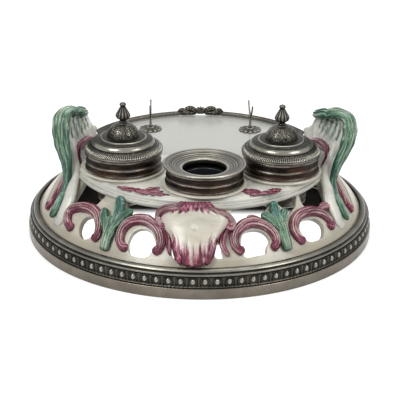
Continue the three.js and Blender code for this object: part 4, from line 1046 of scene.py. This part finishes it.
def finialWave(r, z, turn):
    # pear with twelve flutes between its neck and its foot
    zone = ramp(z, 119, 120.4) * (1 - ramp(z, 127.5, 130.4))
    flute = np.abs(np.cos(6 * turn)) ** 0.7
    return r * 0.17 * zone * (flute - 0.8), 0 * r, zone * 1.2 * (1 - flute) + 0.26


for side, place in wells.items():
    points, faces, masks = lathe(cupCorners, place, 160, rounding=0.8)
    # the cup's dark corners become its line mask: painted shade, dark brown, under the deck and down inside
    makePiece(f"{side}WellCup", [(points, faces, {"line": masks["dark"]})], creamGlaze)
    makePiece(f"{side}Collar", [lathe(collarCorners, place, 160)], collarSilver)
    liner = lathe(linerCorners, place, 96, rounding=0.8)
    makePiece(f"{side}Liner", [liner], inkGlass, f"{side}_liner")
    if side == "centre":
        dish = lathe(dishCorners, place, 160, rounding=0.3)
        makePiece("centreDish", [dish], wornSilver, "centre_dish")
        continue
    lid = lathe(lidCorners, place, lidShape["reeds"] * 5, rounding=0.4, step=2.4, wave=lidWave, bend=3)
    makePiece(f"{side}Lid", [lid], wornSilver, f"{side}_lid")
    finial = lathe(finialCorners, place, 96, rounding=0.5, step=0.7, wave=finialWave)
    makePiece(f"{side}Finial", [finial], wornSilver, f"{side}_lid")
print("wells made")


# pen rests: a rosette with a wire that splits into two prongs
rests = dict(x=48.5, y=68.0, petals=12, wire=1.1, reach=10.0, rightLean=-0.16)
# share of a prong's reach and its height
prongBends = [(0, 82.5), (0.36, 87.0), (0.75, 92.4), (1, 98.0)]
rosetteCorners = [
    (1.4, 70.8, 0.8), (10.6, 70.8, 0.8), (11, 71.3, 0.1), (10.2, 71.8, 0.1), (7.8, 72, 0.3, 0.3),
    (5.4, 72.4, 0.3, 0.3), (4.3, 72.2, 0.9), (3.6, 73, 0.1), (2.4, 73.3, 0.2), (1.4, 73.2, 0.9),
]
wireCorners = [
    (0, 60.3, 0.6), (rests["wire"], 60.3, 0.6), (rests["wire"], 73.2, 0.6), (1.9, 73.6, 0.2), (1.5, 75.2, 0.2),
    (rests["wire"], 76.4, 0.1), (rests["wire"], 83.4, 0.1), (1.4, 84.2, 0.1), (0.6, 85.2, 0.3), (0, 85.2, 0.3),
]


def rosetteWave(r, z, turn):
    # petals: lobed rim and raised petal crests
    petal = np.abs(np.cos(rests["petals"] / 2 * turn)) ** 0.6
    zone = ramp(r, 3.2, 5) * (z > 71.0)
    return 0.9 * (petal - 1) * ramp(r, 7, 11), 0.5 * zone * (petal - 0.5), zone * 0.8 * (1 - petal)


def prongPaint(t, across, front, ridge):
    return {"dark": 0.35}


def prong(x, reach, lean):
    stops = [(x + share * lean, rests["y"] + share * reach, z) for share, z in prongBends]
    t = np.linspace(0, 1, 40)
    thick = rests["wire"] * (0.95 - 0.3 * t) * roundEnds(t, 0.03, 0.03)
    return band(smoothCourse(stops, 40), (1, 0, 0), thick, thick, ribs=14, paint=prongPaint)


for name, x in (("left", -rests["x"]), ("right", rests["x"])):
    place = (x, rests["y"])
    rosette = lathe(rosetteCorners, place, 144, wave=rosetteWave)
    makePiece(f"{name}Rosette", [rosette], wornSilver, nodes=[f"{name}_pen_rosette"])
    parts = [lathe(wireCorners, place, 24, step=2)]
    for reach in (-rests["reach"], rests["reach"]):
        parts.append(prong(x, reach, rests["rightLean"] * reach * (x > 0)))
    makePiece(f"{name}PenFork", parts, wornSilver)


# gallery at the back of the tray: beaded rails, a cast crest between them and a leaf at each end
gallery = dict(
    radius=111.6, width=5.0, height=4.4, base=70.8, halfSweep=62.0, crestSweep=10.6, beads=70, terminalSweep=9,
)


def galleryArc(low, high, count, lift):
    # arc round the back between two angles from the back's middle
    turn = np.radians(np.linspace(low, high, count))
    return around(gallery["radius"], turn, gallery["base"] + lift) * [1, -1, 1]


def railPaint(t, across, front, ridge):
    beads = np.cos(2 * np.pi * gallery["beads"] * t)
    return {"dark": 0.5 + 0.6 * (1 - ridge) * front + 0.3 * beads - 0.25 * ramp(np.abs(across), 0.7, 0.95)}


def galleryRail(side):
    count = 420
    low, high = sorted((side * gallery["crestSweep"], side * gallery["halfSweep"]))
    path = galleryArc(low, high, count, gallery["height"] / 2)
    t = np.linspace(0, 1, count)
    ends = roundEnds(t, 0.01, 0.01)
    beads = 0.08 * np.cos(2 * np.pi * gallery["beads"] * t)
    width, depth = (gallery["width"] / 2 + beads) * ends, gallery["height"] / 2 * 0.9 * ends
    return band(path, (0, 0, 1), width, depth, ribs=32, flutes=3, groove=0.3, paint=railPaint)


def terminalPaint(t, across, front, ridge):
    return {"dark": 0.3 + 0.6 * (1 - ridge), "chased": 0.4}


def galleryTerminal(side):
    # tapering leaf that turns in from the rail's end
    low = gallery["halfSweep"]
    path = galleryArc(side * low, side * (low + gallery["terminalSweep"]), 50, 2.2)
    t = np.linspace(0, 1, 50)
    path = path * np.column_stack([1 - (3 + 10 * t) / gallery["radius"]] * 2 + [np.ones(50)])
    width = 3.4 * (1 - 0.75 * t) * (1 + 0.2 * np.cos(24 * t)) * roundEnds(t, 0.1, 0.1)
    depth = (2.5 - 1.2 * t) * roundEnds(t, 0.1, 0.1)
    return band(path, (0, 0, 1), width, depth, ribs=24, flutes=3, groove=0.4, paint=terminalPaint)


def crestPaint(t, across, front, ridge):
    return {"dark": 0.25 + 0.7 * (1 - ridge) * front + 0.15 * np.cos(40 * t), "chased": 0.25}


def crestLeaf(stops, wide, deep, flutes):
    # fluted leaf standing on the rail, along stops of distance from the crest's middle and height
    course = smoothCourse(stops, 60)
    turn = course[:, 0] / gallery["radius"]
    path = around(gallery["radius"], turn, gallery["base"] + course[:, 1]) * [1, -1, 1]
    facing = np.stack([-np.sin(turn) * 0.8, -np.cos(turn) * 0.8, 0.6 + 0 * turn], 1)
    t = np.linspace(0, 1, 60)
    body = (0.45 + 0.55 * np.sin(np.pi * t ** 0.8)) * roundEnds(t, 0.1, 0.1)
    return band(path, facing, wide * body, deep * body, ribs=28, flutes=flutes, groove=0.5, paint=crestPaint)


# curled leaves on each side of the crest: stops, half width, half depth, flutes
crestLeaves = [
    ([(3, 2.2), (8, 6.6), (13, 7.2), (16.6, 4.6)], 2.8, 2.2, 3),
    ([(9, 2.0), (14, 3.4), (19, 6.0), (23, 3.6)], 2.5, 2.0, 3),
    ([(4, 1.6), (12, 2.4), (20, 2.2), (27, 2.2)], 2.3, 2.2, 2),
]


def galleryCrest():
    # cast crest: a shell of five ribs in the middle, with three curled leaves on each side
    ribs = [[(0.8 * k, 1.2), (1.6 * k, 5.2), (2.7 * k, 9.3 - 0.5 * k * k)] for k in (-2, -1, 0, 1, 2)]
    parts = [crestLeaf(stops, 1.5, 1.4, 1) for stops in ribs]
    for side in (-1, 1):
        for stops, wide, deep, flutes in crestLeaves:
            parts.append(crestLeaf([(side * x, z) for x, z in stops], wide, deep, flutes))
    return parts


for name, side in (("Left", -1), ("Right", 1)):
    makePiece(f"gallery{name}Rail", [galleryRail(side)], wornSilver)
    makePiece(f"gallery{name}Terminal", [galleryTerminal(side)], wornSilver)
makePiece("galleryCrest", galleryCrest(), wornSilver)
print("gallery made")


# handles: radii and heights of the wing, angles of its front and rear edges
wing = dict(
    lip=117.5, front=67.0, lean=16.5, rear=114.0, thickness=6.5, footFront=6.5, footMiddle=-19.5, footRear=-8.5,
    tip=-9.5, bulgeLeft=8.0, bulgeRight=17.0, bulgeRear=2.0, base=62, riseFront=48.5, riseRear=17.0, hook=7.0,
)


def wingPoint(side, u, v):
    # u from the foot up to the curled tip, v from the front edge to the rear edge: the radius
    # swells out at mid height, and the height follows a quarter sine that drops to the rear
    frontFoot = mix(wing["footFront"], wing["footMiddle"], np.sin(np.pi * np.clip(v, -0.2, 0.5)))
    foot = np.where(v < 0.5, frontFoot, mix(wing["footMiddle"], wing["footRear"], 2 * v - 1))
    fade = (1 + np.cos(np.pi * v)) / 2
    bulge = mix(wing["bulgeRear"], wing["bulgeLeft"] if side < 0 else wing["bulgeRight"], fade)
    radius = wing["lip"] + mix(foot, wing["tip"], u ** 2) + bulge * np.sin(np.pi * np.clip(u, 0, 1))
    turn = np.radians(mix(wing["front"] + wing["lean"] * u, wing["rear"], v)) * side
    rise = mix(wing["riseRear"], wing["riseFront"], np.clip(fade, 0, 1) ** 0.8) + wing["hook"] * fade
    drop = 5.5 * wing["hook"] * fade * np.clip(u - 0.6, 0, None) ** 2
    return around(radius, turn, wing["base"] + rise * np.sin(np.pi / 2 * np.clip(1.25 * u, -1, 1)) - drop)


def wingPaint(u, v):
    # green stripes fan out under the crown, thin strokes follow the leaf's edge downwards
    fan = 0.5 + 0.5 * np.cos(2 * np.pi * (13 * v + 3.5 * u) + 1.6 * np.sin(9 * v))
    stripes = 0.85 * ramp(fan, 0.42, 0.74) * ramp(v, 0.05, 0.12) * (1 - ramp(v, 0.36, 0.52))
    stripes = stripes * ramp(u, 0.16 + 0.4 * v, 0.32 + 0.4 * v)
    crown = ramp(u, 0.9, 0.97) * (1 - ramp(v, 0.4, 0.66))
    thin = (0.5 + 0.5 * np.cos(2 * np.pi * (21 * v + 4 * u) + 3 * np.sin(7 * u) + 2 * np.sin(31 * v))) ** 4
    strokes = thin * ramp(v, 0.02, 0.07) * (1 - ramp(v, 0.24, 0.4))
    strokes = strokes * ramp(u, 0.04, 0.2) * (1 - ramp(u, 0.8, 0.95))
    edge = ramp(v, 0.95, 0.99)
    # green on the wing's top under the crown leaf, darkened towards the rear as painted shade in the hollow under
    # the crown
    line = 0.26 * strokes + 0.15 * stripes + 0.35 * edge + 0.5 * crown * ramp(v, 0.1, 0.3)
    green = np.maximum.reduce([stripes, 0.95 * crown, 0.4 * strokes])
    return {"green": green, "cool": 0.35, "line": np.clip(line, 0, 1), "along": 0.3 * u, "across": 1.17 * v}


def wingThickness(u, v):
    rim = np.minimum(np.minimum(v, 1 - v) * 12, np.minimum(u, 1 - u) * 12)
    flutes = 1 + 0.1 * np.cos(2 * np.pi * (8.5 * u - 5.5 * v)) * ramp(v, 0.05, 0.15) * (1 - ramp(v, 0.35, 0.5))
    return wing["thickness"] * flutes * np.sqrt(np.clip(1 - (1 - np.clip(rim, 0, 1)) ** 2, 0, 1))


def legPaint(t, across, front, ridge):
    return {"line": 0.12 * bump(np.abs(across), 0.95, 0.06)}


def frontLeg(side):
    # plain leg from the apron up the inside of the wing's front edge
    onWall = [onApron(side * 61.0, 27.0, -0.6), onApron(side * 61.6, 38.0, 2.2), onApron(side * 63.0, 48.0, 4.0)]
    onWing = [wingPoint(side, 0.05, 0.07), wingPoint(side, 0.16, 0.1), wingPoint(side, 0.34, 0.13)]
    t = np.linspace(0, 1, 80)
    outward = apronOut(np.full(80, side * 62.0), mix(30, 60, t))
    width = (8.2 - 2.8 * t) * roundEnds(t, 0.1, 0.1)
    depth = (2.2 + 2.0 * ramp(t, 0, 0.4)) * roundEnds(t, 0.12, 0.1)
    path = smoothCourse(onWall + onWing, 80)
    return band(path, outward, width, depth, ribs=36, flutes=1, groove=0.1, paint=legPaint)


# half widths of the leaf at shares of its length, from its foot on the apron to its curled tip
handleLeaf = dict(
    widths=[
        (0, 2.4), (0.1, 3.6), (0.22, 3.3), (0.36, 4.4), (0.5, 6.6), (0.65, 9.2), (0.8, 9.6), (0.92, 7.6), (1, 4.6),
    ],
    rightShare=0.84, halfDepth=2.9, crownWidth=5.2, crownDepth=3.4,
)


def crownPaint(t, across, front, ridge):
    # green, thinner on the crests and down the middle so that the pale glaze shows through as a painted highlight;
    # outlines along the edges and down the grooves
    thin = 0.45 * front * ridge * (0.6 + 0.4 * np.sin(17 * t + 4 * across))
    thin = thin + 0.22 * bump(across, 0.1, 0.45) * front
    lines = fluteLines(across, front, ridge, 0.7, 0.5, 2, 0.72, 0.96)
    return {"green": 1.0 - thin, "cool": 0.4 + 0.3 * np.sin(6 * t), "line": lines}


def longLeaf(side):
    # lengthwise flutes and lobed edges, from its tail on the apron up over the wing's front edge
    tail = [onApron(side * 63.2, 31.0, 3.4), onApron(side * 64.2, 40.0, 4.8), onApron(side * 68.0, 54.0, 6.4)]
    spots = [wingPoint(side, u, 0.03) for u in (0.12, 0.28, 0.44, 0.6, 0.8, 0.98)]
    path = smoothCourse(tail + spots, 170)
    t = np.linspace(0, 1, 170)
    outward = unit(unit(path * [1, 1, 0]) + np.stack([0 * t, -0.9 + 0 * t, 0.35 + 0.8 * t], 1))
    profile = smoothCourse(handleLeaf["widths"], 200, 10)
    lobes = 1 + 0.045 * np.cos(2 * np.pi * 10 * t) * ramp(t, 0.4, 0.55)
    width = np.interp(t, profile[:, 0], profile[:, 1]) * lobes * roundEnds(t, 0.03, 0.05)
    width = width * (handleLeaf["rightShare"] if side > 0 else 1)
    depth = handleLeaf["halfDepth"] * roundEnds(t, 0.04, 0.05)
    flutes = dict(ribs=72, flutes=5, groove=0.42, wander=1.8, paint=crownPaint)
    return band(path + outward * 3, outward, width, depth, **flutes)


def crownLeaf(side):
    # second leaf that rolls from the long leaf's tip over the wing's upper edge
    rim = smoothCourse([(0.86, 0.02), (0.96, 0.08), (1.0, 0.17), (0.97, 0.26), (0.88, 0.31)], 60)
    path = wingPoint(side, rim[:, 0], rim[:, 1])
    inward = -unit(path * [1, 1, 0]) * 0.8 + [0, -0.3, 0.6]
    t = np.linspace(0, 1, 60)
    width = (handleLeaf["crownWidth"] - 2.6 * t) * roundEnds(t, 0.15, 0.12)
    depth = (handleLeaf["crownDepth"] - 1.2 * t) * roundEnds(t, 0.12, 0.12)
    flutes = dict(ribs=40, flutes=3, groove=0.5, wander=1.4, paint=crownPaint)
    return band(path + inward * 2.6, inward, width, depth, **flutes)


volute = dict(
    halfWidth=5.06, halfDepth=2.4, gap=0.4,
    stops=[(0.24, 0.56), (0.26, 0.42), (0.25, 0.27), (0.22, 0.16), (0.15, 0.11), (0.09, 0.13)],
)


def voluteBand(side):
    # scroll on the wing's inner face beside the lid, along stops of the wing's own u and v
    course = smoothCourse(volute["stops"], 90)
    face = wingPoint(side, course[:, 0], course[:, 1])
    inward = -unit(face * [1, 1, 0])
    t = np.linspace(0, 1, 90)
    ends = roundEnds(t, 0.08, 0.07)
    width = volute["halfWidth"] * (0.75 + 0.25 * np.sin(np.pi * t)) * ends
    path = face + inward * (wing["thickness"] / 2 + volute["gap"])
    flutes = dict(ribs=36, flutes=3, groove=0.35, wander=0.8, paint=leafPaint(1.0, 0.5))
    return band(path, inward, width, volute["halfDepth"] * ends, **flutes)


petal = dict(
    halfWidth=9.4, halfDepth=2.8, out=1.0, stops=[(72.5, 30.0), (76.5, 38.0), (83.5, 47.0), (93.0, 55.5)],
)


def petalPaint(side):
    # pale with painted shade inside, puce along the rear edge and at the foot
    def paint(t, across, front, ridge):
        rear = 0.98 * ramp(-side * across, 0.2, 0.5) * (1 - 0.4 * ridge * front)
        streak = 0.7 * bump(side * across, 0.35, 0.12) * (ridge < 0.6)
        return {
            "puce": rear + streak + 0.9 * ramp(0.14 - t, 0, 0.06),
            "stain": 0.8 * front * (1 - ramp(np.abs(across), 0.5, 0.8)),
            "line": 0.35 * bump(np.abs(across), 0.95, 0.08) + 0.25 * ramp(side * across, 0.8, 0.95),
        }
    return paint


def petalBand(side):
    # petal on the apron behind the leaf's tail
    def width(t):
        body = 0.12 + 0.88 * np.sin(np.pi * np.clip(t, 0, 1) ** 0.85)
        return petal["halfWidth"] * body * roundEnds(t, 0.05, 0.05)

    def depth(t):
        return petal["halfDepth"] * roundEnds(t, 0.06, 0.06)
    stops = [(side * angle, z) for angle, z in petal["stops"]]
    flutes = dict(ribs=48, flutes=3, groove=0.3, paint=petalPaint(side))
    return apronBand(stops, 80, petal["out"], width, depth, **flutes)


for name, side in (("left", -1), ("right", 1)):
    shell = sheet(lambda u, v: wingPoint(side, u, v), wingThickness, 110, 90, wingPaint)
    makePiece(f"{name}Handle", [shell, frontLeg(side)], deckGlaze)
    makePiece(f"{name}HandleLeaf", [longLeaf(side), crownLeaf(side)], leafGlaze)
    makePiece(f"{name}Volute", [voluteBand(side)], creamGlaze)
    makePiece(f"{name}Petal", [petalBand(side)], creamGlaze)
print("handles made")

# the hidden nuts keep their CAD shape and get the foot's silver
for node in ("left_finial_nut", "right_finial_nut", "left_pen_fork_nut", "right_pen_fork_nut"):
    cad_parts[node].material_slots[0].link = "OBJECT"
    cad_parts[node].material_slots[0].material = footSilver


# studio, in metres: white ground and surroundings, lit by three lamps
studio = dict(
    floorReach=6.0, floorTone=0.44, floorGlow=0.62, underPaintedLight=0.6, underRadius=0.15, underEdge=(0.036, 0.022),
    worldLight=0.5, aim=(0, 0, 0.06),
)
# place, size and power of each lamp
lamps = {
    "keyLamp": ((-0.75, -0.85, 1.15), 0.6, 11.0),
    "fillLamp": ((0.95, -0.7, 0.9), 0.6, 7.0),
    "topLamp": ((0.1, 0.5, 1.4), 0.8, 9.0),
}


def directlySeen(tree):
    # 1 for the camera's own rays and for those that reach it by a reflection or through glass
    rays = addNode(tree, "ShaderNodeLightPath").outputs
    return plus(rays["Is Camera Ray"], plus(rays["Is Glossy Ray"], rays["Is Transmission Ray"]), True)


def makeFloor():
    # a white that the camera and reflections see, over a matt floor that keeps the shadow; under the
    # stand only the front part of the ground keeps the white, and glows brighter there: painted light on ground in
    # the stand's shade
    mesh = bpy.data.meshes.new("floor")
    reach = studio["floorReach"]
    corners = [(-reach, -reach, 0), (reach, -reach, 0), (reach, reach, 0), (-reach, reach, 0)]
    mesh.from_pydata(corners, [], [(0, 1, 2, 3)])
    floor = bpy.data.objects.new("floor", mesh)
    bpy.context.collection.objects.link(floor)
    material = bpy.data.materials.new("paleFloor")
    material.use_nodes = True
    tree = material.node_tree
    tree.nodes.clear()
    where = {0: addNode(tree, "ShaderNodeTexCoord").outputs["Object"]}
    x, y = addNode(tree, "ShaderNodeSeparateXYZ", where).outputs[:2]
    distance = calc("SQRT", plus(times(x, x), times(y, y)))
    under = calc("LESS_THAN", distance, studio["underRadius"])
    # the front strip under the stand: painted light, brighter than the rest of the ground
    strip = times(under, spread(y, *studio["underEdge"]))
    shown = plus(minus(1.0, under), strip, True)
    floorGlowAndPaintedLight = plus(studio["floorGlow"], times(strip, studio["underPaintedLight"]))
    strength = times(times(directlySeen(tree), shown), floorGlowAndPaintedLight)
    glow = addNode(tree, "ShaderNodeEmission", {"Strength": strength})
    matt = addNode(tree, "ShaderNodeBsdfDiffuse", {"Color": (studio["floorTone"],) * 3 + (1,)})
    both = addNode(tree, "ShaderNodeAddShader", {0: glow.outputs[0], 1: matt.outputs[0]})
    addNode(tree, "ShaderNodeOutputMaterial", {"Surface": both.outputs[0]})
    mesh.materials.append(material)


def makeWorld():
    world = bpy.data.worlds.new("studio")
    bpy.context.scene.world = world
    world.use_nodes = True
    tree = world.node_tree
    tree.nodes.clear()
    strength = plus(studio["worldLight"], times(directlySeen(tree), 1 - studio["worldLight"]))
    sky = addNode(tree, "ShaderNodeBackground", {"Color": (1, 1, 1, 1), "Strength": strength})
    addNode(tree, "ShaderNodeOutputWorld", {"Surface": sky.outputs[0]})


def makeLamp(name, place, size, power):
    # square area lamp turned towards the stand
    lamp = bpy.data.lights.new(name, "AREA")
    lamp.shape, lamp.size, lamp.energy = "SQUARE", size, power
    holder = bpy.data.objects.new(name, lamp)
    x, y, z = np.array(studio["aim"], float) - np.array(place, float)
    holder.location = place
    holder.rotation_euler = (math.pi / 2 + math.atan2(z, np.hypot(x, y)), 0, -math.atan2(x, y))
    bpy.context.collection.objects.link(holder)


makeFloor()
makeWorld()
for name, lamp in lamps.items():
    makeLamp(name, *lamp)

# the photo's camera
view = dict(
    distance=1.2, elevation=23.4, roll=0.5, sensor=36, focal=113.85, shiftX=0.00125, shiftY=0.059,
    near=0.05, far=50,
)
lens = bpy.data.cameras.new("camera")
lens.sensor_width, lens.lens = view["sensor"], view["focal"]
lens.shift_x, lens.shift_y = view["shiftX"], view["shiftY"]
lens.clip_start, lens.clip_end = view["near"], view["far"]
camera = bpy.data.objects.new("camera", lens)
lift = math.radians(view["elevation"])
place = Matrix.Translation((0, -view["distance"] * math.cos(lift), view["distance"] * math.sin(lift)))
tilt = Matrix.Rotation(math.pi / 2 - lift, 4, "X")
camera.matrix_world = place @ tilt @ Matrix.Rotation(math.radians(view["roll"]), 4, "Z")
bpy.context.collection.objects.link(camera)
bpy.context.scene.camera = camera
bpy.context.scene.view_settings.view_transform = "Standard"
print("studio ready")
